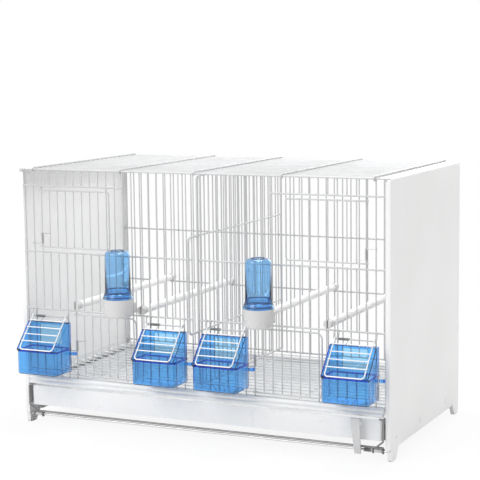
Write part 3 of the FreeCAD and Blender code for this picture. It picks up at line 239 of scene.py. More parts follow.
def _build_peel(group: bpy.types.NodeTree) -> None:
    """Build the orange peel of sprayed and baked enamel: a soft ripple with finer grit on it."""
    tree, given, out = _sockets(group, {"Scale": 420.0, "Grit": 0.25}, ("Height", "NodeSocketFloat"))
    ripple = tree.noise(given.outputs["Scale"], detail=1.0, rough=0.4)
    fine = tree.noise(tree.math("MULTIPLY", given.outputs["Scale"], 5.5), detail=2.0)
    total = tree.math("ADD", ripple, tree.math("MULTIPLY", fine, given.outputs["Grit"]))
    group.links.new(total, out.inputs["Height"])


def _build_tone(group: bpy.types.NodeTree) -> None:
    """Build a slow drift of a colour's depth, as paint and plastic have over a large piece."""
    start = (0.8, 0.8, 0.8, 1.0)
    tree, given, out = _sockets(group, {"Color": start, "Second": start, "Scale": 9.0, "Amount": 0.5},
                                ("Color", "NodeSocketColor"))
    wide = tree.remap(tree.noise(given.outputs["Scale"], detail=3.0, rough=0.55), 0.32, 0.68)
    share = tree.math("MULTIPLY", wide, given.outputs["Amount"])
    group.links.new(tree.mix(share, given.outputs["Color"], given.outputs["Second"]), out.inputs["Color"])


def _build_dust(group: bpy.types.NodeTree) -> None:
    """Build a mask of dust that settles on faces that look up, in patches."""
    tree, given, out = _sockets(group, {"Amount": 0.3, "Scale": 60.0}, ("Mask", "NodeSocketFloat"))
    normal = tree.add("ShaderNodeNewGeometry").outputs["Normal"]
    up = tree.add("ShaderNodeSeparateXYZ", {0: normal}).outputs["Z"]
    facing = tree.remap(up, 0.35, 0.95)
    patches = tree.remap(tree.noise(given.outputs["Scale"], detail=5.0, rough=0.65), 0.38, 0.72)
    mask = tree.math("MULTIPLY", tree.math("MULTIPLY", facing, patches), given.outputs["Amount"])
    group.links.new(mask, out.inputs["Mask"])


def _build_scuff(group: bpy.types.NodeTree) -> None:
    """Build a mask of fine, short scuffs that handling leaves."""
    tree, given, out = _sockets(group, {"Scale": 60.0, "Amount": 0.4}, ("Mask", "NodeSocketFloat"))
    stretched = tree.add("ShaderNodeMapping", {"Vector": tree.place(), "Scale": (1.0, 1.0, 7.0)},
                         vector_type="POINT")
    warped = tree.noise(given.outputs["Scale"], detail=6.0, rough=0.72, vector=stretched.outputs[0],
                        distortion=1.6)
    thin = tree.remap(warped, 0.60, 0.70)
    area = tree.remap(tree.noise(14.0, detail=1.0), 0.45, 0.62)
    mask = tree.math("MULTIPLY", tree.math("MULTIPLY", thin, area), given.outputs["Amount"])
    group.links.new(mask, out.inputs["Mask"])


def _build_flow(group: bpy.types.NodeTree) -> None:
    """Build the faint waves that cooling leaves in a moulded wall."""
    tree, given, out = _sockets(group, {"Scale": 55.0}, ("Height", "NodeSocketFloat"))
    waves = tree.noise(given.outputs["Scale"], detail=1.5, rough=0.35, distortion=0.4)
    group.links.new(waves, out.inputs["Height"])


def new_material(name: str) -> tuple[bpy.types.Material, Tree, bpy.types.Node]:
    """Start a material with a principled shader.

    Args:
        name: the material's name.

    Returns:
        The material, its tree and its principled shader.
    """
    material = bpy.data.materials.new(name)
    material.use_nodes = True
    material.node_tree.nodes.clear()
    tree = Tree(material.node_tree)
    shader = tree.add("ShaderNodeBsdfPrincipled")
    tree.add("ShaderNodeOutputMaterial", {"Surface": shader.outputs[0]})
    return material, tree, shader


def uneven(tree: Tree, roughness: float, scale: float) -> bpy.types.NodeSocket:
    """Return a roughness that drifts a little over the surface.

    Args:
        tree: the material's tree.
        roughness: the finish's middle roughness.
        scale: waves of the drift to the metre.

    Returns:
        The roughness socket.
    """
    smoother, duller = 0.04, 0.05
    return tree.remap(tree.noise(scale, detail=3.0), 0.3, 0.7, roughness - smoother, roughness + duller)


@dataclass(frozen=True)
class Enamel:
    """White enamel, sprayed and baked on sheet or wire."""

    name: str
    colour: Colour
    second: Colour
    roughness: float
    peel_scale: float
    peel_depth: float
    coat: float = 0.0
    dust: float = 0.25
    scuffs: float = 0.35
    tone_scale: float = 7.0
    tone_share: float = 0.8
    dust_scale: float = 70.0
    dust_tint: float = 0.5
    dust_dulling: float = 0.45
    scuff_scale: float = 55.0
    scuff_tint: float = 0.35
    scuff_dulling: float = 0.3
    blotch_scale: float = 26.0
    grit: float = 0.2
    coat_roughness: float = 0.12
    peel_strength: float = 0.35

    def material(self) -> bpy.types.Material:
        """Build the finish and return it."""
        material, tree, shader = new_material(self.name)
        drift = tree.effect(Effect.TONE, {
            "Color": self.colour, "Second": self.second, "Scale": self.tone_scale, "Amount": self.tone_share,
        })
        dust = tree.effect(Effect.DUST, {"Amount": self.dust, "Scale": self.dust_scale})
        scuff = tree.effect(Effect.SCUFF, {"Amount": self.scuffs, "Scale": self.scuff_scale})
        colour = tree.mix(tree.math("MULTIPLY", dust, self.dust_tint), drift, GRIME_COLOUR)
        colour = tree.mix(tree.math("MULTIPLY", scuff, self.scuff_tint), colour, GRIME_COLOUR)
        worn = tree.math("ADD", tree.math("MULTIPLY", dust, self.dust_dulling),
                         tree.math("MULTIPLY", scuff, self.scuff_dulling))
        rough = tree.math("ADD", uneven(tree, self.roughness, self.blotch_scale), worn)
        peel = tree.effect(Effect.PEEL, {"Scale": self.peel_scale, "Grit": self.grit})
        tree.fill(shader, {"Base Color": colour, "Roughness": rough, "Coat Weight": self.coat,
                           "Coat Roughness": self.coat_roughness,
                           "Normal": tree.bump(peel, self.peel_strength, self.peel_depth)})
        return material


@dataclass(frozen=True)
class ClearPlastic:
    """Transparent tinted plastic, moulded in thin walls."""

    name: str
    colour: Colour
    inside: Colour
    density: float
    roughness: float = 0.02
    refraction: float = 1.49
    deeper_share: float = 0.96
    tone_scale: float = 30.0
    tone_share: float = 0.6
    scuffs: float = 0.5
    scuff_scale: float = 70.0
    scuff_dulling: float = 0.12
    wave_scale: float = 60.0
    wave_strength: float = 0.25
    wave_depth: float = 0.0004

    def material(self) -> bpy.types.Material:
        """Build the finish and return it."""
        material, tree, shader = new_material(self.name)
        deeper = tuple(self.deeper_share * part for part in self.colour[:3]) + (1.0,)
        drift = tree.effect(Effect.TONE, {"Color": self.colour, "Second": deeper, "Scale": self.tone_scale,
                                          "Amount": self.tone_share})
        scuff = tree.effect(Effect.SCUFF, {"Amount": self.scuffs, "Scale": self.scuff_scale})
        rough = tree.math("ADD", tree.math("MULTIPLY", scuff, self.scuff_dulling), self.roughness)
        waves = tree.effect(Effect.FLOW, {"Scale": self.wave_scale})
        tree.fill(shader, {"Base Color": drift, "Roughness": rough, "IOR": self.refraction,
                           "Transmission Weight": 1.0,
                           "Normal": tree.bump(waves, self.wave_strength, self.wave_depth)})
        volume = tree.add("ShaderNodeVolumeAbsorption", {"Color": self.inside, "Density": self.density})
        output = next(n for n in tree.tree.nodes if n.bl_idname == "ShaderNodeOutputMaterial")
        tree.tree.links.new(volume.outputs[0], output.inputs["Volume"])
        return material


@dataclass(frozen=True)
class OpaquePlastic:
    """Opaque moulded plastic with a fine mould texture."""

    name: str
    colour: Colour
    second: Colour
    roughness: float
    grain: float = 900.0
    depth: float = 0.00003
    dust: float = 0.2
    refraction: float = 1.5
    tone_scale: float = 24.0
    tone_share: float = 0.7
    dust_scale: float = 120.0
    dust_tint: float = 0.5
    scuffs: float = 0.5
    scuff_scale: float = 90.0
    scuff_dulling: float = 0.25
    blotch_scale: float = 80.0
    grain_strength: float = 0.4

    def material(self) -> bpy.types.Material:
        """Build the finish and return it."""
        material, tree, shader = new_material(self.name)
        drift = tree.effect(Effect.TONE, {
            "Color": self.colour, "Second": self.second, "Scale": self.tone_scale, "Amount": self.tone_share,
        })
        dust = tree.effect(Effect.DUST, {"Amount": self.dust, "Scale": self.dust_scale})
        scuff = tree.effect(Effect.SCUFF, {"Amount": self.scuffs, "Scale": self.scuff_scale})
        colour = tree.mix(tree.math("MULTIPLY", dust, self.dust_tint), drift, DUST_COLOUR)
        rough = tree.math("ADD", uneven(tree, self.roughness, self.blotch_scale),
                          tree.math("MULTIPLY", scuff, self.scuff_dulling))
        grain = tree.noise(self.grain, detail=3.0)
        tree.fill(shader, {"Base Color": colour, "Roughness": rough, "IOR": self.refraction,
                           "Normal": tree.bump(grain, self.grain_strength, self.depth)})
        return material


@dataclass(frozen=True)
class Steel:
    """Bare, plated or oxide-dark steel wire, drawn along the cage's width."""

    name: str
    colour: Colour
    stain: Colour
    roughness: float
    metallic: float = 1.0
    drawn_scale: tuple[float, float, float] = (12.0, 900.0, 900.0)
    stain_scale: float = 45.0
    stain_share: float = 0.7
    smoother: float = 0.06
    duller: float = 0.08
    scuffs: float = 0.6
    scuff_scale: float = 80.0
    scuff_dulling: float = 0.15
    line_strength: float = 0.25
    line_depth: float = 0.00004

    def material(self) -> bpy.types.Material:
        """Build the finish and return it."""
        material, tree, shader = new_material(self.name)
        drift = tree.effect(Effect.TONE, {
            "Color": self.colour, "Second": self.stain, "Scale": self.stain_scale, "Amount": self.stain_share,
        })
        drawn = tree.add("ShaderNodeMapping", {"Vector": tree.place(), "Scale": self.drawn_scale},
                         vector_type="POINT")
        lines = tree.noise(1.0, detail=3.0, vector=drawn.outputs[0])
        scuff = tree.effect(Effect.SCUFF, {"Amount": self.scuffs, "Scale": self.scuff_scale})
        streaks = tree.remap(lines, 0.25, 0.75, self.roughness - self.smoother, self.roughness + self.duller)
        rough = tree.math("ADD", streaks, tree.math("MULTIPLY", scuff, self.scuff_dulling))
        tree.fill(shader, {"Base Color": drift, "Roughness": rough, "Metallic": self.metallic,
                           "Normal": tree.bump(lines, self.line_strength, self.line_depth)})
        return material


Finish = Enamel | ClearPlastic | OpaquePlastic | Steel


def grey(value: float, warm: float = 0.0) -> Colour:
    """Return a grey, or one that leans warm or, below zero, cool."""
    return (value * (1 + warm), value, value * (1 - warm), 1.0)


SHEET_ENAMEL = Enamel("sheet_enamel", grey(0.85, 0.002), grey(0.82, 0.006), 0.34, 420.0, 0.00010, coat=0.15)
# The wires' enamel is the sheet's white darkened to 0.58: painted shade for the grey look of thin white
# wires.
SHADED_WIRE_ENAMEL = Enamel("wire_enamel_painted_shade", grey(0.58, -0.010), grey(0.52, -0.004), 0.24, 700.0, 0.00008, coat=0.3,
                     dust=0.3)
# The floor wires' cool lean is painted reflection: the blue that the clear tubs cast on them.
FLOOR_ENAMEL = Enamel("floor_enamel", grey(0.80, -0.012), grey(0.76, -0.006), 0.26, 700.0, 0.00008, coat=0.3,
                      dust=0.2)
FLAP_ENAMEL = Enamel("flap_enamel", grey(0.90, -0.004), grey(0.86, 0.0), 0.22, 700.0, 0.00008, coat=0.4,
                     dust=0.1)
# The cool lean of the tray and bar enamels is painted reflection: the blue that the clear tubs cast on them.
TRAY_ENAMEL = Enamel("tray_enamel", grey(0.83, -0.010), grey(0.80, -0.004), 0.30, 420.0, 0.00010, coat=0.2)
BAR_ENAMEL = Enamel("bar_enamel", grey(0.87, -0.004), grey(0.84, 0.0), 0.12, 260.0, 0.00006,
                    coat=0.6, dust=0.1, scuffs=0.2)
BLUE_CLEAR = ClearPlastic("blue_clear_plastic", (0.54, 0.87, 1.0, 1.0), (0.04, 0.50, 0.96, 1.0), 280.0)
# The rim ring is the tub's own blue plastic; its deeper blue and denser absorption are painted shade for the
# thick rim's dark look.
SHADED_BLUE_RIM = ClearPlastic("blue_rim_plastic_painted_shade", (0.22, 0.52, 0.93, 1.0), (0.01, 0.30, 0.85, 1.0), 520.0)
BOTTLE_CLEAR = ClearPlastic("bottle_clear_plastic", (0.66, 0.87, 1.0, 1.0), (0.06, 0.52, 0.97, 1.0), 190.0)
# The cups and other white plastic parts are set to a grey of 0.62, far below the perches' white: painted
# shade for their shaded look.
SHADED_CUP_WHITE = OpaquePlastic("cup_white_plastic_painted_shade", grey(0.62, 0.004), grey(0.58, 0.006), 0.30)
PERCH_WHITE = OpaquePlastic("perch_white_plastic", grey(0.88, 0.004), grey(0.84, 0.008), 0.5, grain=500.0,
                            depth=0.00008, dust=0.1)
SPRING_STEEL = Steel("spring_steel", grey(0.50), grey(0.40, 0.02), 0.34)
DARK_WIRE = Steel("dark_wire", grey(0.30, 0.01), grey(0.22, 0.02), 0.42, metallic=0.85)
ZINC_ROD = Steel("zinc_rod", grey(0.70, -0.005), grey(0.60, 0.0), 0.30)

SLOT_FINISHES = {
    "panel_paint": SHEET_ENAMEL, "white_wire": SHADED_WIRE_ENAMEL,
    "tray_paint": TRAY_ENAMEL, "bright_bar": BAR_ENAMEL,
    "blue_plastic": BLUE_CLEAR, "white_plastic": SHADED_CUP_WHITE, "perch_plastic": PERCH_WHITE,
    "spring_steel": SPRING_STEEL, "dark_wire": DARK_WIRE, "zinc_rod": ZINC_ROD,
}


@functools.cache
def material_of(finish: Finish) -> bpy.types.Material:
    """Return a finish's material, built once."""
    return finish.material()


def publish(mesh_data: bmesh.types.BMesh, name: str, body: str, finish: Finish,
            replaced: tuple[str, ...] = (), crease_deg: float = 35.0) -> bpy.types.Object:
    """Turn a finished bmesh into a piece that rides on a body.

    Args:
        mesh_data: the mesh, in the row frame.
        name: the piece's name.
        body: the CAD body that carries it.
        finish: the finish to put on it.
        replaced: the CAD nodes that it stands for.
        crease_deg: the angle above which an edge stays sharp.

    Returns:
        The piece.
    """
    mesh = bpy.data.meshes.new(name)
    mesh_data.to_mesh(mesh)
    mesh_data.free()
    mesh.polygons.foreach_set("use_smooth", [True] * len(mesh.polygons))
    mesh.set_sharp_from_angle(angle=math.radians(crease_deg))
    mesh.materials.append(material_of(finish))
    piece = bpy.data.objects.new(name, mesh)
    bpy.context.scene.collection.objects.link(piece)
    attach(piece, body)
    if replaced:
        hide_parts(*replaced)
    LOG.info("%s: %d faces on %s", name, len(mesh.polygons), body)
    return piece


def clean(mesh_data: bmesh.types.BMesh) -> None:
    """Merge a mesh's doubles and point all its faces outwards."""
    bmesh.ops.remove_doubles(mesh_data, verts=mesh_data.verts[:], dist=MERGE_WITHIN)
    bmesh.ops.recalc_face_normals(mesh_data, faces=mesh_data.faces[:])


def cut(mesh_data: bmesh.types.BMesh, point: Vector, normal: Vector) -> None:
    """Cut all faces along a plane.

    Args:
        mesh_data: the mesh.
        point: a point of the plane.
        normal: the plane's direction.
    """
    everything = mesh_data.verts[:] + mesh_data.edges[:] + mesh_data.faces[:]
    bmesh.ops.bisect_plane(mesh_data, geom=everything, plane_co=point, plane_no=normal, dist=CUT_WITHIN)


def add_block(mesh_data: bmesh.types.BMesh, low: Vector, high: Vector, edge: float = 0.0003) -> None:
    """Add a closed block with softened edges.

    Args:
        mesh_data: the mesh that it is added to.
        low: its lowest corner.
        high: its highest corner.
        edge: the width of the softened edges.
    """
    made = bmesh.ops.create_cube(mesh_data, size=1.0)["verts"]
    size = high - low
    bmesh.ops.scale(mesh_data, vec=size, verts=made)
    bmesh.ops.translate(mesh_data, vec=(low + high) / 2, verts=made)
    soften(mesh_data, [e for e in mesh_data.edges if e.verts[0] in made], edge, 2)


def soften(mesh_data: bmesh.types.BMesh, edges: list[bmesh.types.BMEdge],
           width: float, segments: int) -> None:
    """Round off edges.

    Args:
        mesh_data: the mesh.
        edges: the edges.
        width: how far the rounding reaches from each edge.
        segments: the number of parts.
    """
    bmesh.ops.bevel(mesh_data, geom=edges, offset=width, segments=segments, affect="EDGES", profile=0.5,
                    material=-1)


def boundary(mesh_data: bmesh.types.BMesh) -> list[bmesh.types.BMEdge]:
    """Return a mesh's open edges."""
    return [edge for edge in mesh_data.edges if edge.is_boundary]


def spun(profile: list[tuple[float, float]], steps: int) -> bmesh.types.BMesh:
    """Turn a profile round the Z axis.

    Args:
        profile: radius and height of each point, from the axis or from a rim.
        steps: the number of sides.

    Returns:
        The turned mesh.
    """
    mesh_data = bmesh.new()
    points = [mesh_data.verts.new((radius, 0.0, height)) for radius, height in profile]
    edges = [mesh_data.edges.new(pair) for pair in zip(points, points[1:])]
    bmesh.ops.spin(mesh_data, geom=points + edges, cent=(0, 0, 0), axis=(0, 0, 1), dvec=(0, 0, 0),
                   angle=math.tau, steps=steps, use_merge=True, use_duplicate=False)
    clean(mesh_data)
    return mesh_data


def arc(centre: tuple[float, float], radius: float, start_deg: float, end_deg: float,
        steps: int) -> list[tuple[float, float]]:
    """Return the points of a profile's round corner.

    Args:
        centre: the corner's centre, as radius and height.
        radius: the corner's radius.
        start_deg: where the arc starts, from the outward direction.
        end_deg: where it ends.
        steps: the number of parts.

    Returns:
        The points, both ends included.
    """
    angles = [math.radians(start_deg + (end_deg - start_deg) * k / steps) for k in range(steps + 1)]
    return [(centre[0] + radius * math.cos(a), centre[1] + radius * math.sin(a)) for a in angles]


@dataclass
class SeedFeeder:
    """One clip-on seed feeder: a clear tub with a rim band and side tabs, and a clear wedge-shaped hood."""

    side: str
    slope_deg: float = 47.7
    wall: float = 0.0016
    corner: float = 0.006
    bottom_round: float = 0.003
    ring_height: float = 0.0026
    ring_inward: float = 0.0030
    rim_proud: float = 0.0009
    seam: float = 0.0001
    edge: float = 0.0007
    window_half: float = 0.019
    window_bottom: float = 0.004
    window_top: float = 0.006
    tab_back_wall: float = 0.0048
    tab_height: float = 0.0044
    tab_top_drop: float = 0.0074
    tab_lip: float = 0.0014
    corner_steps: int = 7
    bottom_steps: int = 4
    ring_edge: float = 0.0005
    wedge_edge: float = 0.00112
    tab_end_gap: float = 0.0005
    tab_lip_edge: float = 0.0002

    def __post_init__(self) -> None:
        """Read where the feeder sits from its CAD nodes."""
        tub_low, tub_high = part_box(self.side + "_feeder_tub")
        hood_low, hood_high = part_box(self.side + "_feeder_hood")
        self.middle = (hood_low.x + hood_high.x) / 2
        self.half = (hood_high.x - hood_low.x) / 2
        self.front = tub_low.y + self.rim_proud
        self.back = hood_high.y
        self.bottom = tub_low.z
        self.rim = tub_high.z
        self.hood_low = hood_low
        self.hood_high = hood_high
        self.tab_end = (tub_high.x - tub_low.x) / 2
        self.tab_back = tub_high.y
        self.lean = math.radians(self.slope_deg)

    def _shell(self, mesh_data: bmesh.types.BMesh, grow: float, top: float) -> None:
        """Add one surface of the tub, open above.

        Args:
            mesh_data: the mesh that it is added to.
            grow: how far it lies outside the tub's outer wall; below zero is inside.
            top: the height at which it ends.
        """
        low = Vector((self.middle - self.half - grow, self.front - grow, self.bottom - grow))
        high = Vector((self.middle + self.half + grow, self.back + min(grow, 0.0), top))
        made = bmesh.ops.create_cube(mesh_data, size=1.0)["verts"]
        bmesh.ops.scale(mesh_data, vec=high - low, verts=made)
        bmesh.ops.translate(mesh_data, vec=(low + high) / 2, verts=made)
        upright = [e for e in mesh_data.edges if abs(e.verts[0].co.z - e.verts[1].co.z) > self.wall]
        front = [e for e in upright if e.verts[0].co.y < (low.y + high.y) / 2]
        back = [e for e in upright if e not in front]
        soften(mesh_data, front, self.corner + grow, self.corner_steps)
        soften(mesh_data, back, max(self.edge + grow, self.edge / 2), 2)
        base = [e for e in mesh_data.edges if all(abs(v.co.z - low.z) < self.seam for v in e.verts)]
        soften(mesh_data, base, self.bottom_round + grow, self.bottom_steps)
        mesh_data.normal_update()
        lid = [f for f in mesh_data.faces
               if f.normal.z > 0.9 and abs(f.calc_center_median().z - high.z) < self.seam]
        bmesh.ops.delete(mesh_data, geom=lid, context="FACES")

    def tub(self) -> bmesh.types.BMesh:
        """Model the tub and return its mesh."""
        top = self.rim - self.ring_height - self.seam
        outer = bmesh.new()
        self._shell(outer, 0.0, top)
        inner = bmesh.new()
        self._shell(inner, -self.wall, top)
        shell = walled(outer, inner)
        bmesh.ops.bridge_loops(shell, edges=boundary(shell))
        clean(shell)
        self._add_tabs(shell)
        return shell

    def ring(self) -> bmesh.types.BMesh:
        """Model the thick ring round the tub's rim and return its mesh."""
        top = self.rim - self.seam
        outer = bmesh.new()
        self._shell(outer, self.rim_proud, top)
        inner = bmesh.new()
        self._shell(inner, -self.ring_inward, top)
        shell = walled(outer, inner)
        low = self.rim - self.ring_height
        everything = shell.verts[:] + shell.edges[:] + shell.faces[:]
        bmesh.ops.bisect_plane(shell, geom=everything, plane_co=(0, 0, low), plane_no=(0, 0, 1),
                               dist=CUT_WITHIN, clear_inner=True)
        for height in (low, top):
            rim = [e for e in boundary(shell) if abs(e.verts[0].co.z - height) < self.seam]
            bmesh.ops.bridge_loops(shell, edges=rim)
        clean(shell)
        level = [e for e in shell.edges if abs(e.verts[0].co.z - e.verts[1].co.z) < self.seam / 2
                 and e.calc_face_angle(0.0) > 1.0]
        soften(shell, level, self.ring_edge, 2)
        return shell

    def _add_tabs(self, shell: bmesh.types.BMesh) -> None:
        """Add the two arms that clip on the bars beside the feeder."""
        top = self.rim - self.tab_top_drop
        face = self.tab_back - 2 * BAR_RADIUS - FIT_GAP
        reach = self.tab_end - self.tab_end_gap
        beside = reach - BAR_RADIUS - FIT_GAP
        for side in (-1, 1):
            arm = sorted((self.middle + side * (self.half + self.seam), self.middle + side * self.tab_end))
            lip = sorted((self.middle + side * beside, self.middle + side * (beside - self.tab_lip)))
            add_block(shell, Vector((arm[0], face - self.tab_back_wall, top - self.tab_height)),
                      Vector((arm[1], face, top)))
            add_block(shell, Vector((lip[0], face - self.tab_lip, top - self.tab_height)),
                      Vector((lip[1], self.tab_back, top)), edge=self.tab_lip_edge)

    def _slope_y(self, height: float, inward: float) -> float:
        """Return where the hood's sloping front lies.

        Args:
            height: the height asked for.
            inward: the distance inside the hood's outer face.

        Returns:
            The Y of the face at that height.
        """
        return self.hood_low.y + (height - self.rim) / math.tan(self.lean) + inward / math.sin(self.lean)

    def _wedge(self, mesh_data: bmesh.types.BMesh, inset: float) -> None:
        """Add one surface of the hood, open below.

        Args:
            mesh_data: the mesh that it is added to.
            inset: how far it lies inside the hood's outer faces.
        """
        low, high = self.rim + self.seam, self.hood_high.z - inset
        side = self.half - inset
        back = self.back - inset
        made = bmesh.ops.create_cube(mesh_data, size=2.0)["verts"]
        for vert in made:
            upper = vert.co.z > 0
            height = high if upper else low
            depth = back if vert.co.y > 0 else self._slope_y(height, inset)
            vert.co = Vector((self.middle + math.copysign(side, vert.co.x), depth, height))
        edges = [e for e in mesh_data.edges if not all(abs(v.co.z - low) < self.seam for v in e.verts)]
        soften(mesh_data, edges, self.wedge_edge - inset / 2, 3)
        mesh_data.normal_update()
        downward = [f for f in mesh_data.faces if f.normal.z < -0.9]
        under = [f for f in downward if f.calc_center_median().z < low + self.seam]
        bmesh.ops.delete(mesh_data, geom=under, context="FACES")

    def hood(self) -> bmesh.types.BMesh:
        """Model the hood with its window and return its mesh."""
        outer = bmesh.new()
        self._wedge(outer, 0.0)
        inner = bmesh.new()
        self._wedge(inner, self.wall)
        shell = walled(outer, inner)
        bmesh.ops.bridge_loops(shell, edges=boundary(shell))
        for side in (-1, 1):
            cut(shell, Vector((self.middle + side * self.window_half, 0, 0)), Vector((1, 0, 0)))
        low, high = self.rim + self.window_bottom, self.hood_high.z - self.window_top
        for height in (low, high):
            cut(shell, Vector((0, 0, height)), Vector((0, 0, 1)))
        shell.normal_update()
        panes = [f for f in shell.faces if abs(f.normal.y) > 0.95
                 and abs(f.calc_center_median().x - self.middle) < self.window_half
                 and low < f.calc_center_median().z < high
                 and f.calc_center_median().y > self.back - 2 * self.wall]
        bmesh.ops.delete(shell, geom=panes, context="FACES")
        bmesh.ops.bridge_loops(shell, edges=boundary(shell))
        clean(shell)
        return shell

    def build(self) -> None:
        """Build and publish the tub, its rim's ring and the hood."""
        body = self.side + "_feeder"
        publish(self.tub(), self.side + "_tub_moulding", body, BLUE_CLEAR,
                (self.side + "_feeder_tub",), crease_deg=50.0)
        # The ring's deeper blue is painted shade on the tub's own plastic.
        publish(self.ring(), self.side + "_rim_ring", body, SHADED_BLUE_RIM, crease_deg=40.0)
        publish(self.hood(), self.side + "_hood_moulding", body, BLUE_CLEAR,
                (self.side + "_feeder_hood",), crease_deg=40.0)


def walled(outer: bmesh.types.BMesh, inner: bmesh.types.BMesh) -> bmesh.types.BMesh:
    """Put the two open surfaces of a wall in one mesh, the inner one turned inside out.

    Args:
        outer: the wall's outer surface; it is freed.
        inner: the wall's inner surface; it is freed.

    Returns:
        The mesh of both, not joined at their rims yet.
    """
    bmesh.ops.reverse_faces(inner, faces=inner.faces[:])
    result = bmesh.new()
    for part in (outer, inner):
        holder = bpy.data.meshes.new("holder")
        part.to_mesh(holder)
        part.free()
        result.from_mesh(holder)
        bpy.data.meshes.remove(holder)
    return result


@dataclass
class Drinker:
    """One drinker: a clear tube with a flared skirt, standing in a white cup whose spout passes the bars."""

    side: str
    cup_height: float = 0.028
    cup_wall: float = 0.0016
    cup_round: float = 0.005
    cup_bottom_radius: float = 0.0206
    cup_radius: float = 0.0224
    tube_radius: float = 0.0194
    tube_top_radius: float = 0.0184
    tube_wall: float = 0.0012
    shoulder: float = 0.006
    top_ring: float = 0.0105
    ring_height: float = 0.0007
    ring_width: float = 0.0012
    skirt_height: float = 0.007
    skirt_lip: float = 0.002
    skirt_drop: float = 0.0024
    brim: float = 0.0010
    brim_rise: float = 0.0012
    brim_round: float = 0.0007
    foot_round: float = 0.0005
    step: float = 0.0002
    cup_foot: float = 0.0012
    cup_foot_in: float = 0.0022
    spout_half: float = 0.0048
    spout_wall: float = 0.0013
    spout_height: float = 0.015
    neck_radius: float = 0.0165
    neck_depth: float = 0.018
    steps: int = 64

    def __post_init__(self) -> None:
        """Read where the drinker sits from its CAD nodes."""
        low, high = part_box(self.side + "_drinker_tube")
        self.centre = Vector(((low.x + high.x) / 2, (low.y + high.y) / 2, low.z + self.neck_depth))
        self.height = high.z - self.centre.z
        self.cup_low, self.cup_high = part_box(self.side + "_drinker_cup")

    def tube(self) -> bmesh.types.BMesh:
        """Model the clear tube and return its mesh."""
        wall, tube, neck, step = self.tube_wall, self.tube_radius, self.neck_radius, self.step
        body = self.skirt_height + self.skirt_lip
        bead = self.shoulder
        deck = self.height - self.ring_height
        outer = [(0.0, deck), (self.top_ring - self.ring_width, deck)]
        outer += arc((self.top_ring - self.ring_width / 2, deck), self.ring_height, 180, 0, 6)
        outer += arc((self.tube_top_radius - bead, deck - bead), bead, 90, 0, 10)
        outer += [(tube - step, body + self.skirt_lip), (tube + step, body)]
        outer += [(tube + 5 * step, body - self.skirt_drop),
                  (self.cup_radius - self.brim, self.skirt_lip + self.brim_rise)]
        outer += arc((self.cup_radius - self.brim_round, self.skirt_lip), self.brim_round, 45, 0, 3)
        outer += arc((self.cup_radius - self.foot_round, self.foot_round), self.foot_round, 0, -90, 3)
        under = self.cup_radius - wall
        outer += [(under, 0.0), (under - 1.5 * step, self.skirt_lip), (tube - 2 * step, body - 13 * step)]
        outer += [(neck + 3 * step, body - 8 * step), (neck, body - 15 * step)]
        outer += arc((neck - wall / 2, -self.neck_depth + wall / 2), wall / 2, 0, -180, 8)
        inner = [(neck - wall, body - 15 * step), (neck - wall + 2.5 * step, body - 3 * step)]
        inner += [(tube - wall - 3 * step, body), (tube - wall - step, body + 6 * step)]
        inner += arc((self.tube_top_radius - bead, deck - bead), bead - wall, 0, 90, 8)
        inner += [(0.0, deck - wall)]
        mesh_data = spun(outer + inner, self.steps)
        bmesh.ops.translate(mesh_data, vec=self.centre, verts=mesh_data.verts[:])
        return mesh_data

    def cup(self) -> bmesh.types.BMesh:
        """Model the white cup with its spout and return its mesh."""
        height, wall = self.cup_height, self.cup_wall
        bend = self.cup_round
        flat = self.cup_bottom_radius - bend
        outer = [(0.0, self.cup_foot), (flat - self.cup_foot_in - 4 * self.step, self.cup_foot),
                 (flat - self.cup_foot_in, 0.0)]
        outer += arc((flat, bend), bend, -90, 0, 8)
        outer += arc((self.cup_radius - wall / 2, height - wall / 2), wall / 2, 0, 180, 6)
        inner = [(self.cup_bottom_radius - wall, bend + self.skirt_lip)]
        inner += arc((flat, bend), bend - wall, 0, -90, 5)
        inner += [(0.0, wall + self.cup_foot)]
        mesh_data = spun(outer + inner, self.steps)
        base = Vector((self.centre.x, self.centre.y, self.cup_low.z))
        bmesh.ops.translate(mesh_data, vec=base, verts=mesh_data.verts[:])
        self._add_spout(mesh_data)
        return mesh_data

    def _add_spout(self, mesh_data: bmesh.types.BMesh) -> None:
        """Add the open trough that reaches between two bars."""
        half, wall, height = self.spout_half, self.spout_wall, self.spout_height
        start = self.centre.y + self.cup_bottom_radius - self.cup_wall
        end = self.cup_high.y
        base = self.cup_low.z
        x = self.centre.x
        add_block(mesh_data, Vector((x - half, start, base)), Vector((x + half, end, base + self.cup_wall)))
        for side in (-1, 1):
            wide = sorted((x + side * half, x + side * (half - wall)))
            add_block(mesh_data, Vector((wide[0], start, base)), Vector((wide[1], end, base + height)))
        add_block(mesh_data, Vector((x - half, end - wall, base)), Vector((x + half, end, base + height)))

    def build(self) -> None:
        """Build and publish the tube and the cup."""
        publish(self.tube(), self.side + "_tube_moulding", self.side + "_drinker_tube_body",
                BOTTLE_CLEAR, (self.side + "_drinker_tube",), crease_deg=60.0)
        publish(self.cup(), self.side + "_cup_moulding", "cage_frame", SHADED_CUP_WHITE,
                # The cup's grey is painted shade on white plastic.
                (self.side + "_drinker_cup",), crease_deg=40.0)


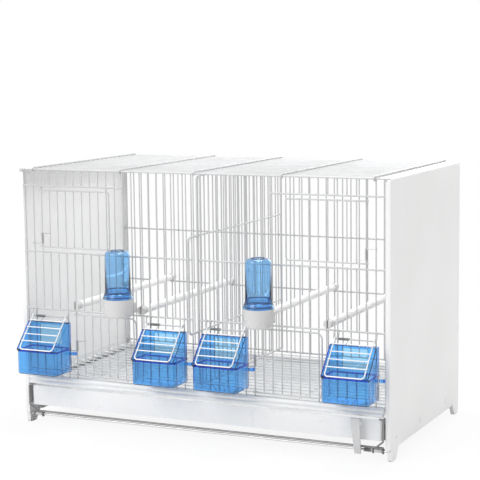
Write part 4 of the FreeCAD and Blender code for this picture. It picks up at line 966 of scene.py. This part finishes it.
@dataclass
class Perches:
    """The four ribbed plastic perches that run from front to back."""

    count: int = 4
    flutes: int = 14
    flute_sides: int = 4
    flute_depth: float = 0.00045
    tip: float = 0.0045
    tip_share: float = 0.88
    step: float = 0.0001

    def bar(self, number: int) -> bmesh.types.BMesh:
        """Model one perch and return its mesh.

        Args:
            number: which perch, from 1.

        Returns:
            The mesh.
        """
        low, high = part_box("perch_%d" % number)
        radius = (high.x - low.x) / 2
        mesh_data = bmesh.new()
        sides = self.flutes * self.flute_sides
        ring = bmesh.ops.create_circle(mesh_data, cap_ends=True, segments=sides, radius=radius)["verts"]
        for place, vert in enumerate(ring):
            if place % self.flute_sides == 0:
                vert.co *= (radius - self.flute_depth) / radius
        bmesh.ops.rotate(mesh_data, cent=(0, 0, 0), matrix=Matrix.Rotation(math.pi / 2, 3, "X"), verts=ring)
        centre = Vector(((low.x + high.x) / 2, low.y, (low.z + high.z) / 2))
        bmesh.ops.translate(mesh_data, vec=centre, verts=ring)
        swept = bmesh.ops.extrude_face_region(mesh_data, geom=mesh_data.faces[:])["geom"]
        far = [item for item in swept if isinstance(item, bmesh.types.BMVert)]
        bmesh.ops.translate(mesh_data, vec=(0, high.y - low.y, 0), verts=far)
        for inset in (self.tip, self.tip + self.step):
            cut(mesh_data, Vector((0, low.y + inset, 0)), Vector((0, 1, 0)))
            cut(mesh_data, Vector((0, high.y - inset, 0)), Vector((0, 1, 0)))
        reach = self.tip + self.step / 2
        tips = [v for v in mesh_data.verts if v.co.y < low.y + reach or v.co.y > high.y - reach]
        space = Matrix.Translation(Vector((-centre.x, 0, -centre.z)))
        bmesh.ops.scale(mesh_data, vec=(self.tip_share, 1.0, self.tip_share), verts=tips, space=space)
        clean(mesh_data)
        return mesh_data

    def build(self) -> None:
        """Build and publish the perches."""
        for number in range(1, self.count + 1):
            node = "perch_%d" % number
            publish(self.bar(number), node + "_ribbed_bar", "cage_frame", PERCH_WHITE,
                    (node,), crease_deg=20.0)


@dataclass
class WeldBeads:
    """The small swellings where a grille's bars are welded to its rods and coated."""

    radius: float = 0.00155
    squash: float = 0.75
    pitch: float = 0.0142
    bars: int = 42
    divider_bars: tuple[int, int] = (20, 21)
    front_y: float = -0.134023
    back_y: float = 0.179477
    bottom_rod: float = 0.0745
    lower_rod: float = 0.1814
    middle_rod: float = 0.26957
    top_rod: float = 0.3954

    def bar_x(self, number: int) -> float:
        """Return a bar's X."""
        return (number - (self.bars - 1) / 2) * self.pitch

    def mesh(self, bars: list[int], rods: tuple[float, ...], level: float) -> bmesh.types.BMesh:
        """Model a bead at each crossing of some bars and rods.

        Args:
            bars: the bars' numbers.
            rods: the rods' heights.
            level: the Y between bars and rods.

        Returns:
            The beads' mesh.
        """
        mesh_data = bmesh.new()
        for number in bars:
            for height in rods:
                made = bmesh.ops.create_icosphere(mesh_data, subdivisions=1, radius=self.radius)["verts"]
                bmesh.ops.scale(mesh_data, vec=(1.0, self.squash, 1.0), verts=made)
                bmesh.ops.translate(mesh_data, vec=(self.bar_x(number), level, height), verts=made)
        return mesh_data

    def build(self) -> None:
        """Build and publish the beads of the front and back grilles."""
        every = list(range(self.bars))
        solid = [number for number in every if number not in self.divider_bars]
        rows = (("front_weld_beads", solid, (self.lower_rod, self.top_rod), self.front_y),
                ("back_middle_beads", every, (self.lower_rod, self.middle_rod), self.back_y),
                ("back_weld_beads", every, (self.bottom_rod, self.top_rod), self.back_y))
        for name, bars, rods, level in rows:
            publish(self.mesh(bars, rods, level), name, "cage_frame", SHADED_WIRE_ENAMEL,
                    crease_deg=180.0)


class CarriedNodes:
    """The CAD nodes that stay and only get their finish."""

    def _finish(self, name: str, slot: str) -> Finish:
        """Choose a node's finish: by its slot, but brighter enamel on the flaps and the floor's wires, which
        skip the other wires' painted shade.

        Args:
            name: the node's name.
            slot: its material slot in the record.

        Returns:
            The finish.
        """
        if name.endswith("_flap"):
            return FLAP_ENAMEL
        return FLOOR_ENAMEL if name.startswith("floor_") else SLOT_FINISHES[slot]

    def build(self) -> None:
        """Put each CAD node's finish on it, by its material slot in the record."""
        slots = {part["node"]: part["material_slot"] for part in frame["record"]["subparts"]}
        for name, node in frame["nodes"].items():
            finish = self._finish(name, slots[name])
            node.data.materials.clear()
            node.data.materials.append(material_of(finish))
            LOG.info("%s: %s", name, finish.name)


@dataclass
class PhotoCamera:
    """The camera that took the reference view."""

    place: tuple[float, float, float] = (0.9646674, -2.0202775, 0.5689226)
    yaw_deg: float = -25.346
    pitch_deg: float = -7.286
    roll_deg: float = -0.679
    focal_px: float = 1472.5007
    image_px: float = 480.0
    sensor_mm: float = 36.0

    def build(self) -> None:
        """Make the camera and look through it."""
        yaw, pitch, roll = (math.radians(a) for a in (self.yaw_deg, self.pitch_deg, self.roll_deg))
        forward = Vector((math.sin(yaw) * math.cos(pitch), math.cos(yaw) * math.cos(pitch), math.sin(pitch)))
        right = Vector((math.cos(yaw), -math.sin(yaw), 0.0))
        up = right.cross(forward)
        turned_right = right * math.cos(roll) + up * math.sin(roll)
        turned_up = up * math.cos(roll) - right * math.sin(roll)
        camera = bpy.data.cameras.new("photo_camera")
        camera.sensor_width = self.sensor_mm
        camera.lens = self.focal_px * self.sensor_mm / self.image_px
        camera.clip_end = 50.0
        holder = bpy.data.objects.new("photo_camera", camera)
        turn = Matrix((turned_right, turned_up, -forward)).transposed().to_4x4()
        holder.matrix_world = Matrix.Translation(Vector(self.place)) @ turn
        bpy.context.scene.collection.objects.link(holder)
        bpy.context.scene.camera = holder


@dataclass(frozen=True)
class SoftLamp:
    """One large soft lamp that looks at a point."""

    name: str
    place: tuple[float, float, float]
    aim: tuple[float, float, float]
    size: float
    power: float

    def build(self) -> None:
        """Make the lamp."""
        light = bpy.data.lights.new(self.name, "AREA")
        light.shape = "SQUARE"
        light.size = self.size
        light.energy = self.power
        holder = bpy.data.objects.new(self.name, light)
        direction = Vector(self.aim) - Vector(self.place)
        holder.matrix_world = (Matrix.Translation(Vector(self.place))
                               @ direction.to_track_quat("-Z", "Y").to_matrix().to_4x4())
        bpy.context.scene.collection.objects.link(holder)


@dataclass
class Studio:
    """The pale floor, the white surround and the lamps."""

    floor_half: float = 6.0
    floor_albedo: float = 0.9
    surround: float = 0.79
    near_glow: float = 0.90
    fade_start: float = 0.35
    fade_end: float = 0.95
    fade_shape: tuple[float, float, float] = (0.75, 1.0, 0.0)

    def build(self) -> None:
        """Make the floor, the world and the lamps."""
        self._floor()
        self._world()
        for lamp in (
            SoftLamp("key_lamp", (-1.1, -2.1, 1.8), (0.0, 0.0, 0.2), 1.6, 27.0),
            SoftLamp("top_lamp", (0.08, 0.1, 1.2), (-0.12, 0.0, 0.15), 0.5, 7.5),
            SoftLamp("back_lamp", (0.15, 1.7, 0.65), (-0.15, 0.0, 0.15), 0.8, 5.0),
        ):
            lamp.build()
        bpy.context.scene.view_settings.view_transform = "Standard"

    def _floor(self) -> None:
        """Make the floor, which keeps the object's shadow near it and is plain white further off."""
        mesh_data = bmesh.new()
        bmesh.ops.create_grid(mesh_data, x_segments=2, y_segments=2, size=self.floor_half)
        mesh = bpy.data.meshes.new("studio_floor")
        mesh_data.to_mesh(mesh)
        mesh_data.free()
        floor = bpy.data.objects.new("studio_floor", mesh)
        bpy.context.scene.collection.objects.link(floor)
        material = bpy.data.materials.new("studio_floor")
        material.use_nodes = True
        material.node_tree.nodes.clear()
        tree = Tree(material.node_tree)
        flat = tree.add("ShaderNodeMapping", {"Vector": tree.place(), "Scale": self.fade_shape},
                        vector_type="POINT")
        far = tree.add("ShaderNodeVectorMath", {0: flat.outputs[0]}, operation="LENGTH").outputs["Value"]
        glow_share = tree.remap(far, self.fade_start, self.fade_end, self.near_glow, 1.0)
        seen = self._seen(tree)
        matt = tree.add("ShaderNodeBsdfDiffuse", {"Color": grey(self.floor_albedo)})
        glow = tree.add("ShaderNodeEmission", {"Color": grey(1.0), "Strength": 1.0})
        shown = tree.math("MULTIPLY", glow_share, seen)
        mixed = tree.add("ShaderNodeMixShader", {0: shown, 1: matt.outputs[0], 2: glow.outputs[0]})
        tree.add("ShaderNodeOutputMaterial", {"Surface": mixed.outputs[0]})
        mesh.materials.append(material)

    def _seen(self, tree: Tree) -> bpy.types.NodeSocket:
        """Return 1 for rays that show the background: seen directly, mirrored or through clear plastic."""
        rays = tree.add("ShaderNodeLightPath").outputs
        direct = tree.math("MAXIMUM", rays["Is Camera Ray"], rays["Is Glossy Ray"])
        return tree.math("MAXIMUM", direct, rays["Is Transmission Ray"])

    def _world(self) -> None:
        """Make the surround: white where it is seen, softer as a light."""
        world = bpy.data.worlds.new("studio_world")
        world.use_nodes = True
        world.node_tree.nodes.clear()
        tree = Tree(world.node_tree)
        soft = tree.add("ShaderNodeBackground", {"Color": grey(1.0), "Strength": self.surround})
        white = tree.add("ShaderNodeBackground", {"Color": grey(1.0), "Strength": 1.0})
        mixed = tree.add("ShaderNodeMixShader",
                         {0: self._seen(tree), 1: soft.outputs[0], 2: white.outputs[0]})
        tree.add("ShaderNodeOutputWorld", {"Surface": mixed.outputs[0]})
        bpy.context.scene.world = world


def main() -> None:
    """Build every part of the scene in order."""
    logging.basicConfig(level=logging.INFO, format="%(message)s")
    PhotoCamera().build()
    Studio().build()
    CarriedNodes().build()
    for side in FEEDER_SIDES:
        SeedFeeder(side).build()
    for side in DRINKER_SIDES:
        Drinker(side).build()
    Perches().build()
    WeldBeads().build()


if __name__ == "__main__":
    main()
